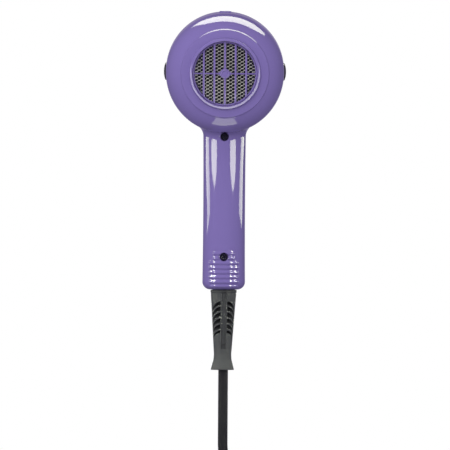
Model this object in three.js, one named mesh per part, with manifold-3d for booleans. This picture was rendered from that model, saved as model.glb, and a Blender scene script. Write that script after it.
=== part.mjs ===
// Travel hair dryer: a front and a rear shell screwed together over a fan, a heater and a handle full of
// switches, with a mains lead that hangs from the handle and is wound into a tied coil.
//
// Millimetres, +Z up. The origin is the middle of the hand grip. The rear air intake faces -Y and the
// barrel blows towards +Y. Parts of the head are built round the head's own axis, which is the Y axis of
// the group "head" and rises a few degrees towards the barrel.

import * as THREE from 'three';
import { mergeVertices } from 'three/addons/utils/BufferGeometryUtils.js';
import Module from 'manifold-3d';

const wasm = await Module();
wasm.setup();

// ---------------------------------------------------------------- driving dimensions

const GAP = 0.35; // between touching pieces
const WALL = 2.2; // shell wall

const HEAD_HEIGHT = 100; // head axis above the grip's middle, at the seam
const HEAD_TILT = THREE.MathUtils.degToRad(3.3); // barrel end raised
const HEAD_RADIUS = 42.5;
const DOME_CENTRE_RADIUS = 20; // the dome's section is a quarter ellipse round this circle
const DOME_REACH = 22.5;
const DOME_DEPTH = 24;
const DOME_START = -20; // where the straight belt of the head ends
const BELT_END = 10;
const PLATEAU_RADIUS = 31.8; // the low step round the intake
const PLATEAU_REAR = -41.7;
const STEP_HEIGHT = 1.1;
const LIP_RADIUS = 24.4; // crest of the lip round the intake
const LIP_REAR = -45.1;
const INTAKE_RADIUS = 23.4;
const RECESS_REAR = -42.3; // where the lip's inner slope ends
const RECESS_FLOOR = -39.6;
const SHOULDER_END = 46;
const BARREL_RADIUS = 25.5;
const BARREL_END = 88;

const GRIP_HALF_WIDTH = 15.1;
const GRIP_HALF_DEPTH = 16.2;
const GRIP_BOTTOM = -57.3;
const GRIP_CORNER = 6;
const GRIP_TOP = 72; // hidden inside the head
const CAVITY_TOP = 80;
const RELIEF_HOLE = 8.4;
const REACH = 200; // larger than the dryer

const SCREW_HEIGHTS = { upper_screw: 52.5, lower_screw: -33.9 };
const SCREW_HEAD_RADIUS = 2.7;
const SCREW_SHANK_RADIUS = 1.3;
const SCREW_SEAT_Y = -12.3;
const SCREW_HEAD_HEIGHT = 2.4;
const SCREW_TIP_Y = 9;
const POST_RADIUS = 4.3;
const CROSS_REACH = 1.6;
const CROSS_HALF_WIDTH = 0.35;
const CROSS_DEPTH = 1.1;

const RIB_TOP = -31.5;
const RIB_PITCH = 3.4;
const RIB_COUNT = 8;
const SHORT_RIBS = 2; // the ribs beside the lower screw
const SHORT_RIB_HALF_WIDTH = 7.6;
const LONG_RIB_HALF_WIDTH = 10.3;
const RIB_HEIGHT = 0.7;
const RIB_THICKNESS = 1.5;

const GRILLE_RADIUS = 23.05;
const GRILLE_OPENING = 21.9;
const GRILLE_RIB_PITCH = 7.6;
const GRILLE_RIB_WIDTH = 1.4;
const GRILLE_REAR = -42.9;
const GRILLE_RING_REAR = -42.3;
const GRILLE_FRONT = -38.4;
const CROSSBAR_WIDTH = 1;
const CROSSBAR_REAR = GRILLE_REAR + 0.6;
const HUB_RADIUS = 3.5;
const HUB_REAR = GRILLE_REAR - 0.2;
const DIAMOND_REACH = { x: 5.8, z: 4.4 };
const SCREEN_REAR = -40.6;
const SCREEN_THICKNESS = 0.6;
const SCREEN_RADIUS = 21.5;
const RETAINER_OPENING = 19.8;

const CAP_RADIUS = 6.3;
const CAP_HEIGHT = 2.1;
const CAP_STEM_RADIUS = 2;
const CAP_STEM_LENGTH = 4;
const CAP_AXIAL = -9;
const CAP_SEAT = 41.8; // distance of its underside from the head axis

const DUCT_BORE = 27;
const DUCT_WALL = 1.6;
const DUCT_REAR = -36.5;
const DUCT_TAPER_START = 26;
const DUCT_TAPER_END = 43;
const DUCT_THROAT = 21;
const FLANGE_RADIUS = 39.8;
const FLANGE_HALF_THICKNESS = 1;
const VANE_COUNT = 5;

const MOTOR_RADIUS = 13.8;
const MOTOR_REAR = -8;
const MOTOR_FRONT = 22;
const MOTOR_WALL = 0.8;
const SHAFT_RADIUS = 1.15;
const BORE_RADIUS = SHAFT_RADIUS + 0.3;
const BEARING_RADIUS = 3;
const ARMATURE = { radius: 8.6, from: 0, to: 13 };
const COMMUTATOR = { radius: 3.2, from: 14, to: 19 };
const MAGNET = { inner: 9.3, outer: 12.6, from: -2, to: 15, spread: THREE.MathUtils.degToRad(65) };
const BRUSH = { outer: 8.2, from: 15, to: 18, halfHeight: 1.2 };

const IMPELLER_HUB = 9.5;
const IMPELLER_TIP = 26;
const IMPELLER_REAR = -29;
const IMPELLER_FRONT = -14;
const BLADE_COUNT = 7;
const BLADE_THICKNESS = 1.2;
const BLADE_PITCH = THREE.MathUtils.degToRad(48);

const HEATER_REAR = 47;
const HEATER_FRONT = 79;
const BOARD_HALF_WIDTH = 18.6;
const BOARD_THICKNESS = 0.8;
const COIL_WIRE_RADIUS = 0.55;
const COIL_RADIUS = 19.9;
const COIL_TURNS = 4;
const LINER_THICKNESS = 0.6;

const OUTLET_REAR = 82;
const OUTLET_FRONT = 86.5;
const OUTLET_RADIUS = BARREL_RADIUS - WALL - 0.4 - GAP;
const OUTLET_HOOPS = [7, 14];

const SLIDER_HEIGHT = 10; // the slider's middle when it is off
const SLIDER_TRAVEL = 12;
const SLOT_HALF_WIDTH = 2.2;
const SLOT_SPARE = 4.4; // slot beyond the slider's middle at each end of its travel
const PAD = { halfWidth: 4.6, halfLength: 6.5, thickness: 2.25 };
const RIDGE_PITCH = 2;
const BUTTON_HEIGHT = 38;
const BUTTON_RADIUS = 5;
const DIAL_HEIGHT = -14;
const DIAL_RADIUS = 6.5;
const DIAL_FACE = 13.6;
const PORT_DEPTH = 9; // the grip's controls start this far in front of the seam

const CLAMP_HEIGHT = -46;
const CLAMP = { halfWidth: 10, halfDepth: 4, halfHeight: 2.5 };
const CLAMP_SCREW_X = 7.2;
const WIRE_RADIUS = 0.9;

const RELIEF_TOP = GRIP_BOTTOM - GAP;
const RELIEF_BOTTOM = -114.6;
const RELIEF_CUP = 3.5;
const RELIEF_FLANGE = { radius: 11, from: -53.7, to: -52 };

const CORD_RADIUS = 3.5;
const CORD_FLOOR = -206.5; // what the coil and the plug lie on
const COIL_BOTTOM = CORD_FLOOR + 1.3; // the tie passes under the turns
const BEND_RADIUS = 33; // the hanging lead's bend into the coil
const COIL_CENTRE = new THREE.Vector2(36, 45);
const COIL_RADII = { inner: 31, middle: 38, outer: 45 }; // the turns of one layer
const COIL_LAYERS = 2; // full layers, under one more turn
const CORD_START = RELIEF_BOTTOM + RELIEF_CUP - GAP;
const BEND_TOP = COIL_BOTTOM + CORD_RADIUS + BEND_RADIUS;
const TIE = { width: 12, thickness: 0.9, halfSpan: 11.6 };

const PLUG_ENTRY = new THREE.Vector3(-22, -8, CORD_FLOOR + 13.5); // where the lead enters it; pins to -Y
const PLUG_RELIEF_LENGTH = 20;
const PLUG_LENGTH = 34;
const PLUG_HALF_WIDTH = 17.5;
const PLUG_HALF_HEIGHT = 13;
const PIN_RADIUS = 2.4;
const PIN_SPACING = 19;
const PIN_LENGTH = 19;

// ---------------------------------------------------------------- shape tools

/** The geometry as a closed mesh: shared corners merged, flat faces dropped, faces turned outwards. */
function closed(geometry) {
  const bare = geometry.clone();
  bare.deleteAttribute('normal');
  bare.deleteAttribute('uv');
  const merged = mergeVertices(bare, 1e-4);
  const corners = merged.index.array;
  const kept = [];
  for (let i = 0; i < corners.length; i += 3) {
    const [a, b, c] = [corners[i], corners[i + 1], corners[i + 2]];
    if (a !== b && b !== c && c !== a) kept.push(a, b, c);
  }
  if (signedVolume(merged.attributes.position, kept) < 0) kept.reverse();
  merged.setIndex(kept);
  return merged;
}

function signedVolume(position, triangles) {
  const [a, b, c] = [new THREE.Vector3(), new THREE.Vector3(), new THREE.Vector3()];
  let volume = 0;
  for (let i = 0; i < triangles.length; i += 3) {
    a.fromBufferAttribute(position, triangles[i]);
    b.fromBufferAttribute(position, triangles[i + 1]);
    c.fromBufferAttribute(position, triangles[i + 2]);
    volume += a.dot(b.cross(c)) / 6;
  }
  return volume;
}

function solid(geometry) {
  const mesh = closed(geometry);
  const vertProperties = new Float32Array(mesh.attributes.position.array);
  const triVerts = new Uint32Array(mesh.index.array);
  return new wasm.Manifold(new wasm.Mesh({ numProp: 3, vertProperties, triVerts }));
}

function geometryOf(manifold) {
  const mesh = manifold.getMesh();
  const geometry = new THREE.BufferGeometry();
  geometry.setAttribute('position', new THREE.BufferAttribute(mesh.vertProperties, 3));
  geometry.setIndex(new THREE.BufferAttribute(mesh.triVerts, 1));
  return geometry;
}

function joined(solids) {
  return solids.reduce((whole, piece) => whole.add(piece));
}

function without(body, cutters) {
  return cutters.reduce((whole, cutter) => whole.subtract(cutter), body);
}

/** A box between two corners. */
function block(low, high) {
  const size = high.map((value, i) => value - low[i]);
  const middle = high.map((value, i) => (value + low[i]) / 2);
  return new THREE.BoxGeometry(...size).translate(...middle);
}

/** A round solid about the Y axis from a list of [radius, y]; it starts and ends on the axis or closes. */
function turned(profile, segments = 32) {
  return new THREE.LatheGeometry(profile.map(([r, y]) => new THREE.Vector2(r, y)), segments);
}

function rod(radius, from, to, segments = 16) {
  return turned([[0, from], [radius, from], [radius, to], [0, to]], segments);
}

function ring(inner, outer, from, to, segments = 24) {
  return turned([[inner, from], [outer, from], [outer, to], [inner, to], [inner, from]], segments);
}

/** A rod of the given radius along X, Y or Z. */
function rodAlong(axis, radius, from, to, segments = 14) {
  const geometry = rod(radius, from, to, segments);
  if (axis === 'x') geometry.rotateZ(-Math.PI / 2);
  if (axis === 'z') geometry.rotateX(Math.PI / 2);
  return geometry;
}

function roundSection(radius, sides) {
  const shape = new THREE.Shape();
  for (let i = 0; i <= sides; i += 1) {
    const turn = (2 * Math.PI * i) / sides;
    const [x, y] = [radius * Math.cos(turn), radius * Math.sin(turn)];
    if (i === 0) shape.moveTo(x, y);
    else shape.lineTo(x, y);
  }
  return shape;
}

/** A round bar along a smooth curve through the points. */
function bar(points, radius, sides, steps) {
  const corners = points.map((p) => new THREE.Vector3(...p));
  const extrudePath = new THREE.CatmullRomCurve3(corners, false, 'centripetal');
  return new THREE.ExtrudeGeometry(roundSection(radius, sides), { steps, extrudePath, bevelEnabled: false });
}

class Helix extends THREE.Curve {
  constructor(radius, start, end, turns, phase) {
    super();
    Object.assign(this, { radius, start, end, turns, phase });
  }

  getPoint(t, target = new THREE.Vector3()) {
    const turn = this.phase + 2 * Math.PI * this.turns * t;
    const along = this.start + (this.end - this.start) * t;
    return target.set(this.radius * Math.cos(turn), along, this.radius * Math.sin(turn));
  }
}

function helicalBar(curve, radius, sides, stepsPerTurn) {
  const options = {
    steps: Math.round(curve.turns * stepsPerTurn),
    extrudePath: curve,
    bevelEnabled: false,
  };
  return new THREE.ExtrudeGeometry(roundSection(radius, sides), options);
}

// ---------------------------------------------------------------- materials

const material = (color, roughness, metalness = 0) =>
  new THREE.MeshStandardMaterial({ color, roughness, metalness });

const purplePlastic = material(0x7a6caa, 0.22);
const darkPlastic = material(0x3a3a3d, 0.4);
const blackPlastic = material(0x222224, 0.5);
const rubberBlack = material(0x4c4e4e, 0.65);
const cordBlack = material(0x2d2d2d, 0.5);
const screenSteel = material(0xafafa0, 0.3, 1);
const plainSteel = material(0xb8bcc0, 0.35, 1);
const blackSteel = material(0x2b2b30, 0.4, 1);
const copper = material(0xb87333, 0.35, 1);
const brass = material(0xc9a44c, 0.3, 1);
const mica = material(0xd8d2b8, 0.6);
const ductPlastic = material(0x2f3133, 0.6);
const boardGreen = material(0x2f6b3a, 0.5);
const ferrite = material(0x3b3b3b, 0.8);
const whiteNylon = material(0xe8e6df, 0.5);
const redSleeve = material(0xa32020, 0.5);
const blueSleeve = material(0x2a4a9a, 0.5);

function mesh(name, geometry, finish) {
  const part = new THREE.Mesh(closed(geometry), finish);
  part.name = name;
  return part;
}

// ---------------------------------------------------------------- shells

/** Radius of the head at a place along its axis, between the belt and the barrel. */
function shoulderRadius(along) {
  const t = THREE.MathUtils.clamp((along - BELT_END) / (SHOULDER_END - BELT_END), 0, 1);
  return BARREL_RADIUS + (HEAD_RADIUS - BARREL_RADIUS) * (0.5 + 0.5 * Math.cos(Math.PI * t));
}

/** Points of the dome's quarter ellipse, shrunk by an offset, from the step out to the belt. */
function domeArc(offset, points = 5) {
  const reach = DOME_REACH - offset;
  const depth = DOME_DEPTH - offset;
  const last = Math.acos((PLATEAU_RADIUS + 0.35 - DOME_CENTRE_RADIUS - offset / 2) / reach);
  return Array.from({ length: points }, (_, i) => {
    const u = last * (1 - i / (points - 1));
    return [DOME_CENTRE_RADIUS + reach * Math.cos(u), DOME_START - depth * Math.sin(u)];
  });
}

function shoulderArc(offset, points = 6) {
  return Array.from({ length: points }, (_, i) => {
    const along = BELT_END + ((SHOULDER_END - BELT_END) * i) / (points - 1);
    return [shoulderRadius(along) - offset, along];
  });
}

function headOutline() {
  return [
    [0, RECESS_REAR],
    [INTAKE_RADIUS, RECESS_REAR],
    [LIP_RADIUS - 0.7, LIP_REAR + 0.3],
    [LIP_RADIUS, LIP_REAR],
    [LIP_RADIUS + 0.7, LIP_REAR + 0.3],
    [LIP_RADIUS + 1.2, LIP_REAR + 1.6],
    [PLATEAU_RADIUS - 0.3, PLATEAU_REAR],
    [PLATEAU_RADIUS, PLATEAU_REAR + STEP_HEIGHT],
    ...domeArc(0),
    ...shoulderArc(0),
    [BARREL_RADIUS - 0.4, BARREL_END],
    [0, BARREL_END],
  ];
}

function headHollow() {
  return [
    [0, RECESS_FLOOR],
    [INTAKE_RADIUS + 1.6, RECESS_FLOOR],
    ...domeArc(WALL),
    ...shoulderArc(WALL),
    [BARREL_RADIUS - WALL, BARREL_END + 1],
    [0, BARREL_END + 1],
  ];
}

function inHeadFrame(geometry) {
  return geometry.rotateX(HEAD_TILT).translate(0, 0, HEAD_HEIGHT);
}

function gripSection(offset) {
  const shape = new THREE.Shape();
  shape.absellipse(0, 0, GRIP_HALF_WIDTH - offset, GRIP_HALF_DEPTH - offset, 0, 2 * Math.PI, false, 0);
  return shape;
}

/** The grip's outside: an oval bar with a rounded bottom edge. */
function gripBar() {
  const options = {
    depth: GRIP_TOP - GRIP_BOTTOM - 2 * GRIP_CORNER,
    bevelEnabled: true,
    bevelThickness: GRIP_CORNER,
    bevelSize: GRIP_CORNER,
    bevelOffset: -GRIP_CORNER,
    bevelSegments: 3,
    curveSegments: 12,
  };
  return new THREE.ExtrudeGeometry(gripSection(0), options).translate(0, 0, GRIP_BOTTOM + GRIP_CORNER);
}

function gripHollow() {
  const corner = GRIP_CORNER - 2;
  const options = {
    depth: CAVITY_TOP - GRIP_BOTTOM - WALL - 2 * corner,
    bevelEnabled: true,
    bevelThickness: corner,
    bevelSize: corner,
    bevelOffset: -corner,
    bevelSegments: 2,
    curveSegments: 10,
  };
  return new THREE.ExtrudeGeometry(gripSection(WALL), options).translate(0, 0, GRIP_BOTTOM + WALL + corner);
}

function wholeOutside() {
  return joined([solid(inHeadFrame(turned(headOutline()))), solid(gripBar())]);
}

function wholeHollow() {
  return joined([
    solid(inHeadFrame(turned(headHollow()))),
    solid(inHeadFrame(rod(INTAKE_RADIUS, RECESS_REAR - 3, RECESS_FLOOR + 2, 32))),
    solid(gripHollow()),
    solid(rodAlong('z', RELIEF_HOLE, GRIP_BOTTOM - 1, GRIP_BOTTOM + WALL + 1, 24)),
  ]);
}

function rearHalf(body) {
  return body.intersect(solid(block([-REACH, -REACH, -REACH], [REACH, -GAP / 2, REACH])));
}

function frontHalf(body) {
  return body.intersect(solid(block([-REACH, GAP / 2, -REACH], [REACH, REACH, REACH])));
}

/** One raised grip rib: a slice of the grip's section, grown by the rib's height. */
function gripRib(index) {
  const halfWidth = index < SHORT_RIBS ? SHORT_RIB_HALF_WIDTH : LONG_RIB_HALF_WIDTH;
  const options = { depth: RIB_THICKNESS, bevelEnabled: false, curveSegments: 8 };
  const slice = solid(new THREE.ExtrudeGeometry(gripSection(-RIB_HEIGHT), options));
  const window = solid(block([-halfWidth, -REACH, -1], [halfWidth, 0, RIB_THICKNESS + 1]));
  return slice.intersect(window).translate(0, 0, RIB_TOP - index * RIB_PITCH - RIB_THICKNESS / 2);
}

function screwPost(height, from, to) {
  return solid(rodAlong('y', POST_RADIUS, from, to, 16).translate(0, 0, height));
}

function screwHole(height, radius, from, to) {
  return solid(rodAlong('y', radius, from, to, 16).translate(0, 0, height));
}

/** The seat and stem hole of a side cap, as one cutter. */
function capPocket(side) {
  const pocket = rodAlong('x', CAP_RADIUS + GAP, CAP_SEAT - GAP, REACH, 20);
  const hole = rodAlong('x', CAP_STEM_RADIUS + GAP, CAP_SEAT - 2 * CAP_STEM_LENGTH, REACH, 12);
  const cutter = joined([solid(pocket), solid(hole)]);
  const placed = cutter.translate(0, CAP_AXIAL, 0).scale([side, 1, 1]);
  return placed.rotate([THREE.MathUtils.radToDeg(HEAD_TILT), 0, 0]).translate(0, 0, HEAD_HEIGHT);
}

function rearShell() {
  const outside = wholeOutside();
  const heights = Object.values(SCREW_HEIGHTS);
  const posts = heights.map((z) => screwPost(z, -GRIP_HALF_DEPTH, -GAP).intersect(outside));
  const ribs = Array.from({ length: RIB_COUNT }, (_, i) => gripRib(i));
  const walls = rearHalf(joined([outside, ...ribs]).subtract(wholeHollow()));
  const pockets = [-1, 1].map(capPocket);
  const counterbores = heights.map((z) => screwHole(z, SCREW_HEAD_RADIUS + GAP, -REACH, SCREW_SEAT_Y));
  const throughHoles = heights.map((z) => screwHole(z, SCREW_SHANK_RADIUS + GAP, -REACH, 1));
  const body = without(joined([walls, ...posts]), [...pockets, ...counterbores, ...throughHoles]);
  return mesh('rear_shell', geometryOf(body), purplePlastic);
}

function frontShell() {
  const outside = wholeOutside();
  const heights = Object.values(SCREW_HEIGHTS);
  const posts = heights.map((z) => screwPost(z, GAP, GRIP_HALF_DEPTH).intersect(outside));
  const crown = HEAD_HEIGHT + HEAD_RADIUS;
  const tab = solid(block([-4.3, GAP / 2, crown - 1.2], [4.3, 4, crown + 0.6]));
  const walls = joined([frontHalf(outside.subtract(wholeHollow())), ...posts, tab]);
  const pilots = heights.map((z) => screwHole(z, SCREW_SHANK_RADIUS + GAP, -1, SCREW_TIP_Y + 1));
  const slotLow = [-SLOT_HALF_WIDTH, PORT_DEPTH, SLIDER_HEIGHT - SLOT_SPARE];
  const slotHigh = [SLOT_HALF_WIDTH, REACH, SLIDER_HEIGHT + SLIDER_TRAVEL + SLOT_SPARE];
  const ports = [
    solid(block(slotLow, slotHigh)),
    roundPort(BUTTON_RADIUS, BUTTON_HEIGHT),
    roundPort(DIAL_RADIUS, DIAL_HEIGHT),
  ];
  return mesh('front_shell', geometryOf(without(walls, [...pilots, ...ports])), purplePlastic);
}

function roundPort(radius, height) {
  return solid(rodAlong('y', radius + GAP, PORT_DEPTH, REACH, 18).translate(0, 0, height));
}

function screw(name, height) {
  const top = SCREW_SEAT_Y - SCREW_HEAD_HEIGHT;
  const profile = [
    [0, top],
    [SCREW_HEAD_RADIUS - 0.5, top],
    [SCREW_HEAD_RADIUS, top + 0.6],
    [SCREW_HEAD_RADIUS, SCREW_SEAT_Y - GAP],
    [SCREW_SHANK_RADIUS, SCREW_SEAT_Y - GAP],
    [SCREW_SHANK_RADIUS, SCREW_TIP_Y - 1.5],
    [0, SCREW_TIP_Y],
  ];
  const cross = [[CROSS_REACH, CROSS_HALF_WIDTH], [CROSS_HALF_WIDTH, CROSS_REACH]].map(([x, z]) =>
    solid(block([-x, top - 1, -z], [x, top + CROSS_DEPTH, z])));
  const part = mesh(name, geometryOf(without(solid(turned(profile, 16)), cross)), blackSteel);
  part.position.z = height;
  return part;
}

// ---------------------------------------------------------------- head: intake, caps, fan, motor

/** Five upright ribs and one crossbar in a ring, with a round hub on a diamond web. */
function intakeGrille() {
  const front = SCREEN_REAR - GAP;
  const rim = solid(ring(GRILLE_OPENING, GRILLE_RADIUS, GRILLE_RING_REAR, GRILLE_FRONT, 32));
  const reach = (GRILLE_OPENING + GRILLE_RADIUS) / 2;
  const uprights = [-2, -1, 0, 1, 2].map((i) => {
    const x = i * GRILLE_RIB_PITCH;
    const half = Math.sqrt(reach ** 2 - x ** 2);
    const low = [x - GRILLE_RIB_WIDTH / 2, GRILLE_REAR, -half];
    return solid(block(low, [x + GRILLE_RIB_WIDTH / 2, front, half]));
  });
  const crossHalf = CROSSBAR_WIDTH / 2;
  const crossbar = solid(block([-reach, CROSSBAR_REAR, -crossHalf], [reach, front, crossHalf]));
  const hub = solid(rod(HUB_RADIUS, HUB_REAR, front));
  const web = new THREE.CylinderGeometry(1, 1, front - CROSSBAR_REAR, 4)
    .scale(DIAMOND_REACH.x, 1, DIAMOND_REACH.z)
    .translate(0, (front + CROSSBAR_REAR) / 2, 0);
  const whole = joined([rim, ...uprights, crossbar, hub, solid(web)]);
  return mesh('intake_grille', geometryOf(whole), purplePlastic);
}

function intakeScreen() {
  const front = SCREEN_REAR + SCREEN_THICKNESS;
  return mesh('intake_screen', rod(SCREEN_RADIUS, SCREEN_REAR, front, 28), screenSteel);
}

function screenRetainer() {
  const rear = SCREEN_REAR + SCREEN_THICKNESS + GAP;
  return mesh('screen_retainer', ring(RETAINER_OPENING, SCREEN_RADIUS, rear, rear + 1), blackSteel);
}

/** A domed cap on a short stem, pressed into the side of the head. */
function sideCap(name, side) {
  const profile = [
    [0, CAP_SEAT - CAP_STEM_LENGTH],
    [CAP_STEM_RADIUS, CAP_SEAT - CAP_STEM_LENGTH],
    [CAP_STEM_RADIUS, CAP_SEAT],
    [CAP_RADIUS, CAP_SEAT],
    [CAP_RADIUS, CAP_SEAT + 0.8],
    [CAP_RADIUS * 0.8, CAP_SEAT + CAP_HEIGHT * 0.75],
    [CAP_RADIUS * 0.45, CAP_SEAT + CAP_HEIGHT * 1.05],
    [0, CAP_SEAT + CAP_HEIGHT * 1.2],
  ];
  const part = mesh(name, turned(profile, 18), darkPlastic);
  part.position.y = CAP_AXIAL;
  part.rotation.z = (-side * Math.PI) / 2;
  return part;
}

/** A swept fan blade: a thin plate pitched to the airflow. */
function blade(index) {
  const length = IMPELLER_TIP - IMPELLER_HUB + 1.5;
  const plate = new THREE.BoxGeometry(length, BLADE_THICKNESS, IMPELLER_FRONT - IMPELLER_REAR)
    .translate(IMPELLER_HUB - 1.5 + length / 2, 0, 0)
    .rotateX(BLADE_PITCH)
    .translate(0, (IMPELLER_REAR + IMPELLER_FRONT) / 2, 0)
    .rotateY((2 * Math.PI * index) / BLADE_COUNT);
  const sweptRing = solid(rod(IMPELLER_TIP, IMPELLER_REAR, IMPELLER_FRONT, 28));
  return solid(plate).intersect(sweptRing);
}

function impeller() {
  const hubProfile = [
    [0, IMPELLER_REAR - 4],
    [5, IMPELLER_REAR - 3.2],
    [8.6, IMPELLER_REAR - 0.6],
    [IMPELLER_HUB, IMPELLER_REAR + 3],
    [IMPELLER_HUB, IMPELLER_FRONT],
    [7.8, IMPELLER_FRONT],
    [7.8, IMPELLER_REAR + 3],
    [3.4, IMPELLER_REAR + 3],
    [3.4, IMPELLER_FRONT - 2],
    [BORE_RADIUS, IMPELLER_FRONT - 2],
    [BORE_RADIUS, IMPELLER_REAR],
    [0, IMPELLER_REAR],
  ];
  const blades = joined(Array.from({ length: BLADE_COUNT }, (_, i) => blade(i)));
  const middle = solid(rod(IMPELLER_HUB - 0.8, IMPELLER_REAR - 1, IMPELLER_FRONT + 1, 20));
  const whole = solid(turned(hubProfile, 20)).add(blades.subtract(middle));
  return mesh('fan_impeller', geometryOf(whole), ductPlastic);
}

function motorShaft() {
  return mesh('motor_shaft', rod(SHAFT_RADIUS, IMPELLER_REAR + GAP, MOTOR_FRONT + 3.2, 12), plainSteel);
}

function motorArmature() {
  return mesh('motor_armature', ring(BORE_RADIUS, ARMATURE.radius, ARMATURE.from, ARMATURE.to, 12), copper);
}

function motorCommutator() {
  const geometry = ring(BORE_RADIUS, COMMUTATOR.radius, COMMUTATOR.from, COMMUTATOR.to, 12);
  return mesh('motor_commutator', geometry, brass);
}

function motorMagnet(name, side) {
  const shape = new THREE.Shape();
  shape.absarc(0, 0, MAGNET.outer, -MAGNET.spread, MAGNET.spread, false);
  shape.absarc(0, 0, MAGNET.inner, MAGNET.spread, -MAGNET.spread, true);
  shape.closePath();
  const options = { depth: MAGNET.to - MAGNET.from, bevelEnabled: false, curveSegments: 8 };
  const arc = new THREE.ExtrudeGeometry(shape, options);
  arc.rotateX(Math.PI / 2).translate(0, MAGNET.to, 0);
  const part = mesh(name, arc, ferrite);
  part.rotation.y = side > 0 ? 0 : Math.PI;
  return part;
}

function motorCan() {
  const inner = MOTOR_RADIUS - MOTOR_WALL;
  const nose = BEARING_RADIUS + GAP;
  const profile = [
    [nose, MOTOR_REAR - 2],
    [nose + 1, MOTOR_REAR - 2],
    [nose + 1, MOTOR_REAR],
    [MOTOR_RADIUS, MOTOR_REAR],
    [MOTOR_RADIUS, MOTOR_FRONT],
    [inner, MOTOR_FRONT],
    [inner, MOTOR_REAR + MOTOR_WALL],
    [nose, MOTOR_REAR + MOTOR_WALL],
    [nose, MOTOR_REAR - 2],
  ];
  return mesh('motor_can', turned(profile, 24), plainSteel);
}

function bearing(name, from, to) {
  return mesh(name, ring(BORE_RADIUS, BEARING_RADIUS, from, to, 16), brass);
}

function motorEndCap() {
  const pocket = BEARING_RADIUS + GAP;
  const rear = MOTOR_FRONT + GAP;
  const profile = [
    [pocket, rear],
    [MOTOR_RADIUS - 0.3, rear],
    [MOTOR_RADIUS - 0.3, rear + 2],
    [pocket + 1.4, rear + 2.6],
    [pocket, rear + 2.6],
    [pocket, rear],
  ];
  return mesh('motor_end_cap', turned(profile, 20), blackPlastic);
}

function carbonBrush(name, side) {
  const inner = COMMUTATOR.radius + GAP;
  const low = [inner, BRUSH.from, -BRUSH.halfHeight];
  const part = mesh(name, block(low, [BRUSH.outer, BRUSH.to, BRUSH.halfHeight]), ferrite);
  part.rotation.y = side > 0 ? 0 : Math.PI;
  return part;
}

/** The duct round the fan, with its locating flange, the motor's holder and the vanes between them. */
function fanDuct() {
  const outer = DUCT_BORE + DUCT_WALL;
  const tube = [
    [DUCT_BORE - 2, DUCT_REAR],
    [outer - 1.5, DUCT_REAR],
    [outer, DUCT_REAR + 3],
    [outer, -FLANGE_HALF_THICKNESS],
    [FLANGE_RADIUS, -FLANGE_HALF_THICKNESS],
    [FLANGE_RADIUS, FLANGE_HALF_THICKNESS],
    [outer, FLANGE_HALF_THICKNESS],
    [outer, DUCT_TAPER_START],
    [DUCT_THROAT + DUCT_WALL, DUCT_TAPER_END],
    [DUCT_THROAT, DUCT_TAPER_END],
    [DUCT_BORE, DUCT_TAPER_START],
    [DUCT_BORE, DUCT_REAR + 4],
    [DUCT_BORE - 2, DUCT_REAR],
  ];
  const holderInner = MOTOR_RADIUS + GAP;
  const holder = ring(holderInner, holderInner + 1.5, -6, 20);
  const vanes = Array.from({ length: VANE_COUNT }, (_, i) => {
    const vane = block([holderInner + 0.8, -5, -0.7], [DUCT_BORE + 0.8, 19, 0.7]);
    return solid(vane.rotateY((2 * Math.PI * (i + 0.25)) / VANE_COUNT));
  });
  const wireNotch = solid(block([-12, -4, -REACH], [12, 4, -outer - 2]));
  const wireHole = solid(rodAlong('z', 3.6, -REACH, -15, 12).translate(0, 28, 0));
  const body = joined([solid(turned(tube, 28)), solid(holder), ...vanes]);
  return mesh('fan_duct', geometryOf(without(body, [wireNotch, wireHole])), ductPlastic);
}

// ---------------------------------------------------------------- head: heater and outlet

/** A crossed heater board. Each has a slot over half its length, where the other board passes. */
function micaBoard(name, upright) {
  const middle = (HEATER_FRONT + HEATER_REAR) / 2;
  const plate = solid(block(
    [-BOARD_HALF_WIDTH, HEATER_REAR, -BOARD_THICKNESS / 2],
    [BOARD_HALF_WIDTH, HEATER_FRONT, BOARD_THICKNESS / 2],
  ));
  const slotHalf = BOARD_THICKNESS / 2 + GAP;
  const [from, to] = upright ? [middle - GAP, REACH] : [-REACH, middle + GAP];
  const slot = solid(block([-slotHalf, from, -2], [slotHalf, to, 2]));
  const part = mesh(name, geometryOf(plate.subtract(slot)), mica);
  part.rotation.y = upright ? Math.PI / 2 : 0;
  return part;
}

function heaterCoil(name, phase) {
  const curve = new Helix(COIL_RADIUS, HEATER_REAR + 4, HEATER_FRONT - 3, COIL_TURNS, phase);
  return mesh(name, helicalBar(curve, COIL_WIRE_RADIUS, 4, 12), copper);
}

function micaLiner() {
  const geometry = ring(OUTLET_RADIUS - LINER_THICKNESS, OUTLET_RADIUS, SHOULDER_END, OUTLET_REAR - 1);
  return mesh('mica_liner', geometry, mica);
}

function thermostat() {
  return mesh('thermostat', block([3.5, 52, 3.5], [10.5, 60, 7.5]), whiteNylon);
}

function thermalFuse() {
  const part = mesh('thermal_fuse', rod(1.8, 54, 68, 12), plainSteel);
  part.position.set(-7, 0, 6);
  return part;
}

function outletGrille() {
  const inner = OUTLET_RADIUS - 1.6;
  const [rear, front] = [OUTLET_REAR + 1.5, OUTLET_FRONT - 0.5];
  const halfBar = 0.6;
  const rim = solid(ring(inner, OUTLET_RADIUS, OUTLET_REAR, OUTLET_FRONT));
  const hoops = OUTLET_HOOPS.map((r) => solid(ring(r - halfBar, r + halfBar, rear, front, 12)));
  const spokes = [0, 1, 2].map((i) => {
    const half = (inner + OUTLET_RADIUS) / 2;
    const spoke = block([-half, rear, -halfBar], [half, front, halfBar]);
    return solid(spoke.rotateY((Math.PI * i) / 3));
  });
  return mesh('outlet_grille', geometryOf(joined([rim, ...hoops, ...spokes])), darkPlastic);
}

// ---------------------------------------------------------------- grip: switches and wiring

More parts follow.
